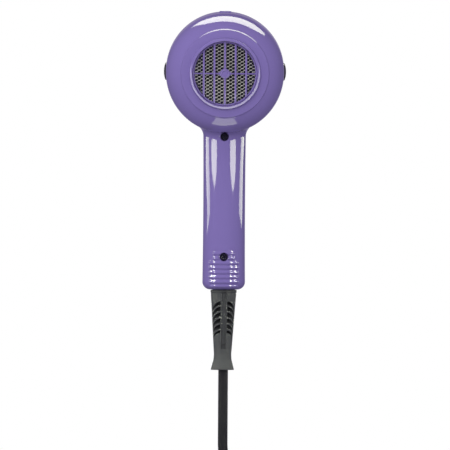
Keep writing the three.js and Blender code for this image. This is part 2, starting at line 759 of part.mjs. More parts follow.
function speedSwitchBody() {
  const low = SLIDER_HEIGHT - 7;
  const high = SLIDER_HEIGHT + SLIDER_TRAVEL + 7;
  const body = solid(block([-5.5, 1.5, low], [5.5, 11.5, high]));
  const slot = solid(block([-1.6, 7.5, low + 3], [1.6, 12, high - 3]));
  return mesh('speed_switch_body', geometryOf(body.subtract(slot)), blackPlastic);
}

/** The thumb slider: a ridged pad outside, on a stem that reaches into the switch. */
function speedSlider() {
  const under = GRIP_HALF_DEPTH + GAP;
  const top = under + PAD.thickness;
  const padLow = [-PAD.halfWidth, under, -PAD.halfLength];
  const pad = solid(block(padLow, [PAD.halfWidth, top, PAD.halfLength]));
  const ridges = [-2, -1, 0, 1, 2].map((i) => {
    const z = i * RIDGE_PITCH;
    return solid(block([-3.8, top - 0.6, z - 0.4], [3.8, top + 0.8, z + 0.4]));
  });
  const stem = solid(block([-1.2, 8, -3.6], [1.2, under + 0.65, 3.6]));
  const part = mesh('speed_slider', geometryOf(joined([pad, ...ridges, stem])), darkPlastic);
  part.position.z = SLIDER_HEIGHT;
  return part;
}

function coldShotButton() {
  const profile = [
    [0, 9.5],
    [1.5, 9.5],
    [1.5, 12.4],
    [BUTTON_RADIUS, 12.4],
    [BUTTON_RADIUS, GRIP_HALF_DEPTH + 1.6],
    [BUTTON_RADIUS - 0.8, GRIP_HALF_DEPTH + 2.4],
    [0, GRIP_HALF_DEPTH + 2.8],
  ];
  const part = mesh('cold_shot_button', turned(profile, 18), darkPlastic);
  part.position.z = BUTTON_HEIGHT;
  return part;
}

function coldShotSpring() {
  const part = mesh('cold_shot_spring', helicalBar(new Helix(3, 7.2, 11.6, 3, 0), 0.3, 4, 8), plainSteel);
  part.position.z = BUTTON_HEIGHT;
  return part;
}

function coldShotSwitch() {
  const half = 6;
  const geometry = block([-half, 1, BUTTON_HEIGHT - half], [half, 6.5, BUTTON_HEIGHT + half]);
  return mesh('cold_shot_switch', geometry, blackPlastic);
}

/** The voltage dial: a flush disc with a coin slot, on a short spindle. */
function voltageDial() {
  const profile = [[0, 8], [2, 8], [2, 11], [DIAL_RADIUS, 11], [DIAL_RADIUS, DIAL_FACE], [0, DIAL_FACE]];
  const slot = solid(block([-5, DIAL_FACE - 1.4, -0.7], [5, DIAL_FACE + 1, 0.7]));
  const part = mesh('voltage_dial', geometryOf(solid(turned(profile, 18)).subtract(slot)), darkPlastic);
  part.position.z = DIAL_HEIGHT;
  return part;
}

function voltageSwitch() {
  return mesh('voltage_switch', block([-7, 1, DIAL_HEIGHT - 8], [7, 7.6, DIAL_HEIGHT + 8]), blackPlastic);
}

function rectifierBoard() {
  return mesh('rectifier_board', block([-8, -6.6, -20], [8, -5.4, 16]), boardGreen);
}

function diode(index) {
  const part = mesh(`diode_${index + 1}`, rodAlong('z', 1.3, -2.6, 2.6, 10), blackPlastic);
  part.position.set(index % 2 === 0 ? -4 : 4, -3.6, index < 2 ? 8 : -2);
  return part;
}

function noiseCapacitor() {
  return mesh('noise_capacitor', block([-5.5, -5, -17], [5.5, -0.8, -8]), brass);
}

/** The saddle that grips the lead inside the rear shell, with a screw at each end. */
function cordClamp() {
  const low = [-CLAMP.halfWidth, -CLAMP.halfDepth, -CLAMP.halfHeight];
  const saddle = solid(block(low, low.map((value) => -value)));
  const channel = CORD_RADIUS + GAP;
  const lead = solid(rodAlong('z', channel, low[2] - 1, 1 - low[2], 14));
  const opening = solid(block([-channel, 0, low[2] - 1], [channel, CLAMP.halfDepth + 1, 1 - low[2]]));
  const holes = [-CLAMP_SCREW_X, CLAMP_SCREW_X].map((x) => {
    const hole = rodAlong('y', 1.4, -6, 6, 10);
    return solid(hole.translate(x, 0, 0));
  });
  const part = mesh('cord_clamp', geometryOf(without(saddle, [lead, opening, ...holes])), whiteNylon);
  part.position.z = CLAMP_HEIGHT;
  return part;
}

function clampScrew(name, x) {
  const profile = [[0, -8], [1, -8], [1, 4.4], [2, 4.4], [2, 5.8], [0, 5.8]];
  const part = mesh(name, turned(profile, 12), plainSteel);
  part.position.set(x, 0, CLAMP_HEIGHT);
  return part;
}

function cordSheathEnd() {
  return mesh('cord_sheath_end', rodAlong('z', CORD_RADIUS, -51.6, -42), cordBlack);
}

function wire(name, points, finish, steps = 14) {
  return mesh(name, bar(points, WIRE_RADIUS, 6, steps), finish);
}

/** The live wire ends at the speed switch; the neutral climbs into the head and ends at the heater. */
function wires() {
  const start = -40.8;
  const side = 10.6;
  const live = [
    [-1.7, 0, start], [-5.2, 1, -39.6], [-8.8, 3, -35],
    [-9.4, 5, -18], [-9.2, 5.5, -6], [-8, 5.5, 8], [-6.8, 5, 12],
  ];
  const neutral = [
    [1.7, 0, start], [5.2, 1, -39.6], [8.8, 2.5, -35], [side, 2, -10], [side, 1, 20], [side, 1, 42],
    [8, 7.6, 56], [4, 13.4, 64], [1.5, 20, 66.8], [0, 26, 69.6], [0, 29.2, 72.8], [0, 29.6, 76], [0, 30, 79],
  ];
  return [wire('wire_live', live, redSleeve, 12), wire('wire_neutral', neutral, blueSleeve, 26)];
}

// ---------------------------------------------------------------- lead, strain relief and plug

/** The moulded sleeve on the lead: a flange inside the grip, a collar, a long taper and a flared end. */
function strainRelief() {
  const profile = [
    [0, RELIEF_FLANGE.to],
    [RELIEF_FLANGE.radius, RELIEF_FLANGE.to],
    [RELIEF_FLANGE.radius, RELIEF_FLANGE.from],
    [RELIEF_HOLE - 0.4, RELIEF_FLANGE.from],
    [RELIEF_HOLE - 0.4, RELIEF_TOP],
    [9.4, RELIEF_TOP],
    [9.4, -59.4],
    [9.1, -60.4],
    [9.1, -65],
    [7.9, -80],
    [6.9, -94],
    [6.3, -101],
    [6.3, -106],
    [6.8, -109.5],
    [8.3, RELIEF_BOTTOM + 0.6],
    [8, RELIEF_BOTTOM],
    [5.5, RELIEF_BOTTOM],
    [CORD_RADIUS + 0.5, RELIEF_BOTTOM + RELIEF_CUP],
    [0, RELIEF_BOTTOM + RELIEF_CUP],
  ];
  const around = turned(profile, 16).rotateX(Math.PI / 2);
  return mesh('strain_relief', around, rubberBlack);
}

/** The hanging stretch and the part of its bend that is clear of the coil. */
function cordDrop() {
  const bend = [12, 24, 36, 43].map((degrees) => {
    const turn = THREE.MathUtils.degToRad(degrees);
    return [BEND_RADIUS * (1 - Math.cos(turn)), 0, BEND_TOP - BEND_RADIUS * Math.sin(turn)];
  });
  const route = [[0, 0, CORD_START], [0, 0, -130], [0, 0, -150], [0, 0, BEND_TOP], ...bend];
  return mesh('cord_drop', bar(route, CORD_RADIUS, 10, 10), cordBlack);
}

/** The stretch from the top of the coil to the plug. */
function cordTail() {
  const route = [
    [-11.5, 27, -187.9], [-14.8, 18, -189.2], [-18.6, 7, -191.5], [-21.7, -1, -192.8], [-22, -7.4, -193],
  ];
  return mesh('cord_tail', bar(route, CORD_RADIUS, 10, 4), cordBlack);
}

/** The wound lead: two layers of three turns with one turn on top, as one ring. */
function cordCoil() {
  const inner = COIL_RADII.inner - CORD_RADIUS;
  const outer = COIL_RADII.outer + CORD_RADIUS;
  const layers = 2 * CORD_RADIUS * COIL_LAYERS;
  const soft = 2.5;
  const profile = [
    [inner + soft, 0],
    [outer - soft, 0],
    [outer, soft],
    [outer, layers - soft],
    [outer - soft, layers],
    [COIL_RADII.outer, layers],
    [COIL_RADII.outer - 1, layers + 2 * CORD_RADIUS],
    [COIL_RADII.middle + 1, layers + 2 * CORD_RADIUS],
    [COIL_RADII.middle, layers],
    [inner + soft, layers],
    [inner, layers - soft],
    [inner, soft],
    [inner + soft, 0],
  ];
  const geometry = turned(profile, 24).rotateX(Math.PI / 2);
  const part = mesh('cord_coil', geometry, cordBlack);
  part.position.set(COIL_CENTRE.x, COIL_CENTRE.y, COIL_BOTTOM);
  return part;
}

/** The tie that holds the turns: a strap round the coil's section at its far side. */
function cordTie() {
  const halfHeight = 3 * CORD_RADIUS + GAP;
  const outer = roundedSlab(TIE.halfSpan + TIE.thickness, halfHeight + TIE.thickness, 2.6, TIE.width);
  const inner = roundedSlab(TIE.halfSpan, halfHeight, 2, TIE.width + 2);
  const strap = solid(outer).subtract(solid(inner));
  const part = mesh('cord_tie', geometryOf(strap), rubberBlack);
  part.position.set(COIL_CENTRE.x, COIL_CENTRE.y + COIL_RADII.middle, COIL_BOTTOM + 3 * CORD_RADIUS);
  return part;
}

/** A rounded rectangle in Y and Z, drawn out along X. */
function roundedSlab(halfY, halfZ, corner, length) {
  const shape = new THREE.Shape();
  shape.moveTo(-halfY + corner, -halfZ);
  shape.lineTo(halfY - corner, -halfZ);
  shape.absarc(halfY - corner, -halfZ + corner, corner, -Math.PI / 2, 0, false);
  shape.absarc(halfY - corner, halfZ - corner, corner, 0, Math.PI / 2, false);
  shape.absarc(-halfY + corner, halfZ - corner, corner, Math.PI / 2, Math.PI, false);
  shape.absarc(-halfY + corner, -halfZ + corner, corner, Math.PI, Math.PI * 1.5, false);
  const options = { depth: length, bevelEnabled: false, curveSegments: 3 };
  const slab = new THREE.ExtrudeGeometry(shape, options).translate(0, 0, -length / 2);
  return slab.rotateY(Math.PI / 2).rotateX(Math.PI / 2);
}

/** The plug's moulded body: an oval face, a waisted grip and its own strain relief. */
function plugBody() {
  const sections = [
    [0, 4.6, 4.6],
    [PLUG_RELIEF_LENGTH, 6, 6],
    [PLUG_RELIEF_LENGTH + 3, 10, 9],
    [PLUG_RELIEF_LENGTH + 20, 12.5, 10],
    [PLUG_RELIEF_LENGTH + 28, PLUG_HALF_WIDTH, PLUG_HALF_HEIGHT],
    [PLUG_RELIEF_LENGTH + PLUG_LENGTH, PLUG_HALF_WIDTH, PLUG_HALF_HEIGHT],
  ];
  const sides = 20;
  const outline = sections.map(([along]) => [1, along]);
  const profile = [[0, sections[0][0]], ...outline, [0, sections.at(-1)[0]]];
  const geometry = turned(profile, sides);
  const position = geometry.attributes.position;
  for (let i = 0; i < position.count; i += 1) {
    const section = sections.find(([along]) => Math.abs(along - position.getY(i)) < 1e-3);
    position.setX(i, position.getX(i) * section[1]);
    position.setZ(i, position.getZ(i) * section[2]);
  }
  const body = solid(geometry.rotateX(Math.PI));
  const face = -PLUG_RELIEF_LENGTH - PLUG_LENGTH;
  const sockets = [-1, 1].map((side) =>
    solid(rod(PIN_RADIUS + GAP, face - 1, face + 5, 14).translate((side * PIN_SPACING) / 2, 0, 0)));
  const part = mesh('plug_body', geometryOf(without(body, sockets)), blackPlastic);
  part.position.copy(PLUG_ENTRY);
  return part;
}

function plugPin(name, side) {
  const face = -PLUG_RELIEF_LENGTH - PLUG_LENGTH;
  const profile = [
    [0, face - PIN_LENGTH],
    [PIN_RADIUS - 0.9, face - PIN_LENGTH],
    [PIN_RADIUS, face - PIN_LENGTH + 1.2],
    [PIN_RADIUS, face + 4.6],
    [0, face + 4.6],
  ];
  const part = mesh(name, turned(profile, 12), plainSteel);
  part.position.copy(PLUG_ENTRY).add(new THREE.Vector3((side * PIN_SPACING) / 2, 0, 0));
  return part;
}

// ---------------------------------------------------------------- assembly

const headParts = new THREE.Group();
headParts.position.z = HEAD_HEIGHT;
headParts.rotation.x = HEAD_TILT;
headParts.add(
  intakeGrille(),
  intakeScreen(),
  screenRetainer(),
  sideCap('side_cap_left', -1),
  sideCap('side_cap_right', 1),
  fanDuct(),
  impeller(),
  motorShaft(),
  motorArmature(),
  motorCommutator(),
  motorMagnet('motor_magnet_left', -1),
  motorMagnet('motor_magnet_right', 1),
  motorCan(),
  bearing('rear_bearing', MOTOR_REAR - 2, MOTOR_REAR + 1),
  bearing('front_bearing', MOTOR_FRONT + GAP, MOTOR_FRONT + 2.8),
  motorEndCap(),
  carbonBrush('carbon_brush_left', -1),
  carbonBrush('carbon_brush_right', 1),
  micaBoard('mica_board_level', false),
  micaBoard('mica_board_upright', true),
  heaterCoil('heater_coil_low', 0),
  heaterCoil('heater_coil_high', Math.PI),
  micaLiner(),
  thermostat(),
  thermalFuse(),
  outletGrille(),
);

const dryer = new THREE.Group();
dryer.add(
  rearShell(),
  frontShell(),
  ...Object.entries(SCREW_HEIGHTS).map(([name, height]) => screw(name, height)),
  headParts,
  speedSwitchBody(),
  speedSlider(),
  coldShotButton(),
  coldShotSpring(),
  coldShotSwitch(),
  voltageDial(),
  voltageSwitch(),
  rectifierBoard(),
  ...[0, 1, 2, 3].map(diode),
  noiseCapacitor(),
  cordClamp(),
  clampScrew('clamp_screw_left', -CLAMP_SCREW_X),
  clampScrew('clamp_screw_right', CLAMP_SCREW_X),
  cordSheathEnd(),
  ...wires(),
  strainRelief(),
  cordDrop(),
  cordCoil(),
  cordTie(),
  cordTail(),
  plugBody(),
  plugPin('plug_pin_left', -1),
  plugPin('plug_pin_right', 1),
);

export default dryer;
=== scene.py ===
"""Travel hair dryer: the looks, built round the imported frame.

Shapes with flowing surfaces are written as distance fields in millimetres, meshed with a surface net and
settled exactly onto the field. Round, straight and wound pieces are built directly. Everything is scaled
to metres as it becomes a Blender object.
"""
import math

import bmesh
import bpy
import numpy as np
from mathutils import Matrix, Vector


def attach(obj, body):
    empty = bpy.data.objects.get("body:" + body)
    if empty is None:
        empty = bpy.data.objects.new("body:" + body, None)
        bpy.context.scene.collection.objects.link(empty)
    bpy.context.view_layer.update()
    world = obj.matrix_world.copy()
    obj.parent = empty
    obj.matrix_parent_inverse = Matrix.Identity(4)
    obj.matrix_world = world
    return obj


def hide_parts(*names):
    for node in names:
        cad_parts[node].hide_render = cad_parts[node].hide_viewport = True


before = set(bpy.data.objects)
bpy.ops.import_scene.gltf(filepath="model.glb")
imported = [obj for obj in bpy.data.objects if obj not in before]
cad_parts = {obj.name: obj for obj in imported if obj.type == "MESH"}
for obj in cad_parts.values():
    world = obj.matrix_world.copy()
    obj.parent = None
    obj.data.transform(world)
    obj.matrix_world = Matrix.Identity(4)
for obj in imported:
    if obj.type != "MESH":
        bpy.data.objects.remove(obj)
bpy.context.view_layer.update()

MM = 0.001

# ---- driving dimensions, in millimetres

HEAD_HEIGHT = 100.0
HEAD_TILT = math.radians(3.3)
HEAD_RADIUS = 42.5
CHIN = 0.03  # how much longer the head is below its axis than above
DOME_CENTRE = (20.0, -20.0)
DOME_REACH = 22.5
DOME_DEPTH = 24.0
BELT_END = 10.0
SHOULDER_END = 46.0
BARREL_RADIUS = 25.5
BARREL_END = 88.0
WALL = 2.2
GRIP_HALF_WIDTH = 15.05
GRIP_HALF_DEPTH = 16.2
GRIP_BOTTOM = -57.3
GRIP_CORNER = 5.6
GRIP_POWER = 2.15
NECK_FILLET = 5.2
INTAKE_RADIUS = 23.1
SCREW_HEIGHTS = {"upper_screw": 52.5, "lower_screw": -33.9}
SCREW_SEAT = -12.3
BORE_RADIUS = 1.65
RIB_TOP = -31.5
RIB_PITCH = 3.4
RIB_HALF_WIDTHS = (7.7, 7.7) + (10.3,) * 6
RIB_RADIUS = 1.3
RIB_DEPTH = 0.65  # how far their middles lie under the grip's surface
POST_RADIUS = 4.3  # the screw posts inside the grip
POST_REACH = 14.5
CAP_PLACE = -9.0  # where the side caps sit along the head's axis
CAP_SEAT = 41.8
SLIDER_HEIGHT = 16
BUTTON_HEIGHT = 38
DIAL_HEIGHT = -14
RELIEF_TOP = -57.65
RELIEF_BOTTOM = -115.2
CORD_RADIUS = 3.5
CORD_FLOOR = -206.5
COIL_BOTTOM = -205.2
COIL_CENTRE = (36.0, 45.0)
COIL_RADII = (45.0, 38.0, 31.0)
BEND_RADIUS = 33.0
PLUG_ENTRY = (-22.0, -8.0, -193.0)
NET_STEP = 0.66

# ---- camera

CAMERA_DISTANCE = 10.0
FRAME_WIDTH = 0.324  # what the picture spans at the grip
SENSOR = 36.0

lens = bpy.data.cameras.new("camera")
lens.sensor_width = SENSOR
lens.lens = SENSOR * CAMERA_DISTANCE / FRAME_WIDTH
lens.clip_start, lens.clip_end = 0.1, 50
camera = bpy.data.objects.new("camera", lens)
camera.location = (0.0007, -CAMERA_DISTANCE, -0.0109)
camera.rotation_euler = (math.radians(90), math.radians(-0.36), 0)
bpy.context.scene.collection.objects.link(camera)
bpy.context.scene.camera = camera

# ---- materials

PLASTIC_IOR = 1.5


def new_material(name):
    material = bpy.data.materials.new(name)
    material.use_nodes = True
    tree = material.node_tree
    return material, tree, tree.nodes["Principled BSDF"]


def link(tree, source, target):
    tree.links.new(source, target)


def put(node, **values):
    """Sets some inputs of a node. An underscore stands for a space in an input's name."""
    for name, value in values.items():
        node.inputs[name.replace("_", " ")].default_value = value
    return node


def add(tree, kind, **values):
    return put(tree.nodes.new("ShaderNode" + kind), **values)


def noise(tree, scale, detail, roughness=0.55):
    """A noise texture in object space, where scale is features per metre."""
    place = add(tree, "TexCoord")
    node = add(tree, "TexNoise", Scale=scale, Detail=detail, Roughness=roughness)
    link(tree, place.outputs["Object"], node.inputs["Vector"])
    return node.outputs["Fac"]


def ramp(tree, source, low, high, low_at=0.3, high_at=0.7):
    """Maps a value onto a range of values."""
    node = add(tree, "MapRange", From_Min=low_at, From_Max=high_at, To_Min=low, To_Max=high)
    link(tree, source, node.inputs["Value"])
    return node.outputs["Result"]


def mixed(tree, factor, a, b):
    node = add(tree, "Mix")
    node.data_type = "RGBA"
    put(node, A=(*a, 1), B=(*b, 1))
    link(tree, factor, node.inputs["Factor"])
    return node.outputs["Result"]


def bump(tree, shader, height, strength, distance):
    node = add(tree, "Bump", Strength=strength, Distance=distance)
    link(tree, height, node.inputs["Height"])
    link(tree, node.outputs["Normal"], shader.inputs["Normal"])


def blended(tree, factor, first, second=None):
    """The first shader, turning into the second or into nothing as the factor rises."""
    node = add(tree, "MixShader")
    link(tree, factor, node.inputs["Fac"])
    link(tree, first, node.inputs[1])
    if second is not None:
        link(tree, second, node.inputs[2])
    return node.outputs["Shader"]


def scaled(colour, factor):
    return tuple(min(1.0, c * factor) for c in colour)


def plastic(name, colour, roughness, spread, grain, grain_depth, swing):
    """Moulded plastic: faint flow marks in its colour, uneven gloss and a fine moulded grain."""
    material, tree, shader = new_material(name)
    flow = noise(tree, 14.0, 3.0)
    link(tree, mixed(tree, ramp(tree, flow, 0, 1), scaled(colour, 1 - swing), scaled(colour, 1 + swing)),
         shader.inputs["Base Color"])
    wear = ramp(tree, noise(tree, 120.0, 6.0, 0.7), roughness * (1 - spread), roughness * (1 + spread))
    link(tree, wear, shader.inputs["Roughness"])
    bump(tree, shader, noise(tree, grain, 3.0), 0.25, grain_depth)
    put(shader, IOR=PLASTIC_IOR)
    return material


def metal(name, colour, roughness, brushed, grain, metallic=1.0):
    """Metal with brushing stretched along an axis and small dull patches."""
    material, tree, shader = new_material(name)
    put(shader, Metallic=metallic)
    place = add(tree, "TexCoord")
    mapping = add(tree, "Mapping", Scale=brushed)
    link(tree, place.outputs["Object"], mapping.inputs["Vector"])
    lines = add(tree, "TexNoise", Scale=grain, Detail=5.0)
    link(tree, mapping.outputs["Vector"], lines.inputs["Vector"])
    patches = noise(tree, 90.0, 4.0)
    link(tree, mixed(tree, ramp(tree, patches, 0, 1), scaled(colour, 0.88), scaled(colour, 1.06)),
         shader.inputs["Base Color"])
    dullness = ramp(tree, lines.outputs["Fac"], roughness * 0.75, roughness * 1.3)
    link(tree, dullness, shader.inputs["Roughness"])
    bump(tree, shader, lines.outputs["Fac"], 0.2, 0.00002)
    return material


# name, colour, roughness, its spread, grain per metre, grain depth in metres, swing of the colour
purple_abs = plastic("purple_abs", (0.184, 0.139, 0.362), 0.035, 0.2, 500.0, 0.000004, 0.03)
dark_gloss = plastic("dark_gloss_plastic", (0.035, 0.035, 0.037), 0.16, 0.2, 700.0, 0.00001, 0.1)
black_matt = plastic("black_matt_plastic", (0.022, 0.022, 0.024), 0.48, 0.15, 2500.0, 0.00004, 0.12)
relief_pvc = plastic("relief_pvc", (0.062, 0.065, 0.064), 0.5, 0.15, 1800.0, 0.00004, 0.14)
cord_pvc = plastic("cord_pvc", (0.018, 0.018, 0.0185), 0.38, 0.15, 1500.0, 0.00004, 0.12)
duct_nylon = plastic("duct_nylon", (0.016, 0.0165, 0.018), 0.55, 0.12, 1800.0, 0.00005, 0.12)
white_nylon = plastic("white_nylon", (0.72, 0.70, 0.65), 0.4, 0.15, 1200.0, 0.00003, 0.05)
green_board = plastic("green_board", (0.03, 0.12, 0.05), 0.35, 0.2, 2600.0, 0.00003, 0.2)
mica_sheet = plastic("mica_sheet", (0.55, 0.5, 0.38), 0.32, 0.35, 350.0, 0.00006, 0.25)
red_sleeve = plastic("red_sleeve", (0.35, 0.02, 0.02), 0.35, 0.2, 1500.0, 0.00003, 0.1)
blue_sleeve = plastic("blue_sleeve", (0.03, 0.07, 0.3), 0.35, 0.2, 1500.0, 0.00003, 0.1)
ferrite = plastic("ferrite", (0.05, 0.05, 0.052), 0.7, 0.1, 3000.0, 0.00006, 0.2)
# name, colour, roughness, stretch of the brushing along x, y and z, grain per metre, metallic
screen_steel = metal("screen_steel", (0.7, 0.69, 0.64), 0.55, (1, 1, 1), 900.0, 0.35)
zinc_steel = metal("zinc_steel", (0.6, 0.61, 0.63), 0.28, (1, 1, 6), 500.0)
black_steel = metal("black_steel", (0.017, 0.014, 0.032), 0.3, (1, 1, 1), 700.0, 0.15)
copper = metal("copper", (0.75, 0.42, 0.24), 0.3, (1, 6, 1), 600.0)
nichrome = metal("nichrome", (0.42, 0.4, 0.38), 0.35, (1, 1, 1), 900.0)
brass = metal("brass", (0.72, 0.55, 0.25), 0.3, (1, 1, 1), 500.0)

# ---- distance fields


def fillet_union(a, b, radius):
    """Two solids joined, with a round fillet in the corner between them."""
    corner = np.hypot(np.maximum(radius - a, 0), np.maximum(radius - b, 0))
    return np.maximum(np.minimum(a, b), radius) - corner


def rounded_common(a, b, radius):
    """What two solids share, with its edge rounded over."""
    edge = np.hypot(np.maximum(a + radius, 0), np.maximum(b + radius, 0))
    return np.minimum(np.maximum(a, b), -radius) + edge


def cut(a, b, radius):
    """The first solid less the second, with the cut's edge rounded over."""
    return rounded_common(a, -b, radius)


def box_field(p, centre, half, corner):
    q = np.abs(p - np.array(centre)) - (np.array(half) - corner)
    outside = np.sqrt((np.maximum(q, 0) ** 2).sum(1))
    return outside + np.minimum(q.max(1), 0) - corner


def rod_field(p, axis, centre, radius, low, high, corner):
    """A round rod along one of the axes 0, 1 or 2, from low to high, with rounded ends."""
    others = [i for i in range(3) if i != axis]
    away = np.hypot(p[:, others[0]] - centre[0], p[:, others[1]] - centre[1]) - radius
    beyond = np.maximum(low - p[:, axis], p[:, axis] - high)
    return rounded_common(away, beyond, corner)


def smoothstep(t):
    t = np.clip(t, 0, 1)
    return t * t * (3 - 2 * t)


def rounded_outline(corners, arc_points=9):
    """The outline through (x, y, fillet) corners, each turned with an arc of its fillet."""
    points = []
    count = len(corners)
    for i, (x, y, fillet) in enumerate(corners):
        here = np.array([x, y])
        if not fillet:
            points.append(here)
            continue
        before = np.array(corners[i - 1][:2]) - here
        after = np.array(corners[(i + 1) % count][:2]) - here
        u, v = before / np.linalg.norm(before), after / np.linalg.norm(after)
        half = math.acos(float(np.clip(u @ v, -1, 1))) / 2
        reach = min(fillet / math.tan(half), 0.49 * np.linalg.norm(before), 0.49 * np.linalg.norm(after))
        radius = reach * math.tan(half)
        bisector = (u + v) / np.linalg.norm(u + v)
        centre = here + bisector * radius / math.sin(half)
        start, end = here + u * reach - centre, here + v * reach - centre
        for k in range(arc_points):
            t = k / (arc_points - 1)
            spoke = start * (1 - t) + end * t
            points.append(centre + spoke * radius / np.linalg.norm(spoke))
    return np.array(points)


class TurnedField:
    """The distance to a solid of revolution, kept as a table over radius and place along the axis."""

    STEP = 0.2

    def __init__(self, outline, margin=12.0):
        outline = np.asarray(outline, float)
        self.low = np.array([0.0, outline[:, 1].min() - margin])
        high = outline.max(0) + margin
        counts = np.ceil((high - self.low) / self.STEP).astype(int) + 1
        r = self.low[0] + self.STEP * np.arange(counts[0])
        y = self.low[1] + self.STEP * np.arange(counts[1])
        grid = np.stack(np.meshgrid(r, y, indexing="ij"), -1)
        self.table = polygon_distance(grid, outline)

    def __call__(self, radius, along):
        place = (np.stack([radius, along], -1) - self.low) / self.STEP
        place = np.clip(place, 0, np.array(self.table.shape) - 1.001)
        cell = place.astype(int)
        u, v = (place - cell).T
        i, j = cell.T
        t = self.table
        near = t[i, j] * (1 - v) + t[i, j + 1] * v
        far = t[i + 1, j] * (1 - v) + t[i + 1, j + 1] * v
        return near * (1 - u) + far * u


def polygon_distance(points, outline):
    """Signed distance to a closed outline, negative inside. Its sides on the axis don't count."""
    best = np.full(points.shape[:2], np.inf)
    inside = np.zeros(points.shape[:2], bool)
    x, y = points[..., 0], points[..., 1]
    for a, b in zip(outline, np.roll(outline, -1, axis=0)):
        edge = b - a
        length2 = float(edge @ edge)
        if length2 < 1e-12:
            continue
        if a[0] > 1e-9 or b[0] > 1e-9:
            t = np.clip(((x - a[0]) * edge[0] + (y - a[1]) * edge[1]) / length2, 0, 1)
            best = np.minimum(best, np.hypot(x - a[0] - t * edge[0], y - a[1] - t * edge[1]))
        if a[1] == b[1]:
            continue
        spans = (a[1] > y) != (b[1] > y)
        with np.errstate(divide="ignore", invalid="ignore"):
            crossing = a[0] + (y - a[1]) / edge[1] * edge[0]
        inside ^= spans & (x < crossing)
    return np.where(inside, -best, best)


def gradient(field, points, reach=0.02):
    slope = np.empty_like(points)
    for axis in range(3):
        step = np.zeros(3)
        step[axis] = reach
        slope[:, axis] = (field(points + step) - field(points - step)) / (2 * reach)
    return slope


def settle(field, points, rounds=5, furthest=0.6):
    """Moves points along the field's slope until they lie on its surface."""
    for _ in range(rounds):
        slope = gradient(field, points)
        size = np.maximum((slope ** 2).sum(1), 0.05)
        move = -(field(points) / size)[:, None] * slope
        length = np.linalg.norm(move, axis=1, keepdims=True)
        points = points + move * np.minimum(1, furthest / np.maximum(length, 1e-9))
    return points


def surface_net(field, low, high, step):
    """Corners and quads of the surface where the field is 0, one corner in each cell that it crosses."""
    low = np.array(low, float)
    counts = np.ceil((np.array(high) - low) / step).astype(int) + 1
    axes = [low[i] + step * np.arange(counts[i]) for i in range(3)]
    value = np.empty(counts)
    for i, x in enumerate(axes[0]):
        plane = np.stack(np.meshgrid([x], axes[1], axes[2], indexing="ij"), -1).reshape(-1, 3)
        value[i] = field(plane).reshape(counts[1], counts[2])
    cells = tuple(counts - 1)
    total, hits = np.zeros(cells + (3,)), np.zeros(cells)
    edges = []
    for axis in range(3):
        a, b = np.delete(value, -1, axis), np.delete(value, 0, axis)
        crossed = (a < 0) != (b < 0)
        at = np.argwhere(crossed)
        first, second = a[crossed], b[crossed]
        point = at.astype(float)
        point[:, axis] += first / (first - second)
        u, v = [k for k in range(3) if k != axis]
        for du in (0, 1):
            for dv in (0, 1):
                cell = at.copy()
                cell[:, u] -= du
                cell[:, v] -= dv
                ok = ((cell >= 0) & (cell < np.array(cells))).all(1)
                index = tuple(cell[ok].T)
                np.add.at(total, index, point[ok])
                np.add.at(hits, index, 1)
        edges.append((axis, u, v, at, first < 0))
    used = hits > 0
    number = np.full(cells, -1)
    number[used] = np.arange(int(used.sum()))
    points = low + step * total[used] / hits[used][:, None]
    quads = []
    for axis, u, v, at, inside_first in edges:
        ok = (at[:, u] > 0) & (at[:, v] > 0) & (at[:, u] < cells[u]) & (at[:, v] < cells[v])
        at, inside_first = at[ok], inside_first[ok]
        corners = []
        for du, dv in ((1, 1), (0, 1), (0, 0), (1, 0)):
            cell = at.copy()
            cell[:, u] -= du
            cell[:, v] -= dv
            corners.append(number[tuple(cell.T)])
        quad = np.stack(corners, 1)
        flip = inside_first if axis != 1 else ~inside_first
        quad[~flip] = quad[~flip][:, ::-1]
        quads.append(quad)
    return points, np.concatenate(quads)


def link_object(name, data, material):
    piece = bpy.data.objects.new(name, data)
    data.materials.append(material)
    bpy.context.scene.collection.objects.link(piece)
    return piece


def stands_for(piece, slot, *nodes, body="housing"):
    """Ties a piece to its body and hides the nodes whose place it takes. Its slot is not used."""
    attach(piece, body)
    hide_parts(*nodes)
    return piece


def moulded(name, field, low, high, step, material, slot, node, body="housing", in_head=False):
    """A piece from a distance field, meshed, settled and shaded by the field's own slope."""
    points, quads = surface_net(field, low, high, step)
    points = settle(field, points)
    slope = gradient(field, points)
    slope /= np.maximum(np.linalg.norm(slope, axis=1, keepdims=True), 1e-9)
    mesh = bpy.data.meshes.new(name)
    mesh.from_pydata((points * MM).tolist(), [], quads.tolist())
    mesh.update()
    mesh.polygons.foreach_set("use_smooth", np.ones(len(mesh.polygons), bool))
    mesh.normals_split_custom_set_from_vertices(slope.tolist())
    if in_head:
        mesh.transform(head_matrix() @ Matrix.Scale(1 / MM, 4))
    return stands_for(link_object(name, mesh, material), slot, node, body=body)


def head_matrix():
    """From the head's own frame in millimetres to the scene in metres."""
    return (Matrix.Translation((0, 0, HEAD_HEIGHT * MM)) @ Matrix.Rotation(HEAD_TILT, 4, "X")
            @ Matrix.Scale(MM, 4))


def in_head_frame(p):
    """The place across and along the head's tilted axis, and the height above it."""
    c, s = math.cos(HEAD_TILT), math.sin(HEAD_TILT)
    y, z = p[:, 1], p[:, 2] - HEAD_HEIGHT
    along, up = y * c + z * s, -y * s + z * c
    return p[:, 0], along, up


# ---- the shells' shared fields


CURVE_POINTS = 60


def dome_points(offset, first_radius):
    """The head's round back, from its given radius out to the widest point."""
    reach, depth = DOME_REACH - offset, DOME_DEPTH - offset
    last = math.acos((first_radius - DOME_CENTRE[0]) / reach)
    turns = np.linspace(last, 0, CURVE_POINTS)
    return [(DOME_CENTRE[0] + reach * math.cos(u), DOME_CENTRE[1] - depth * math.sin(u), 0) for u in turns]


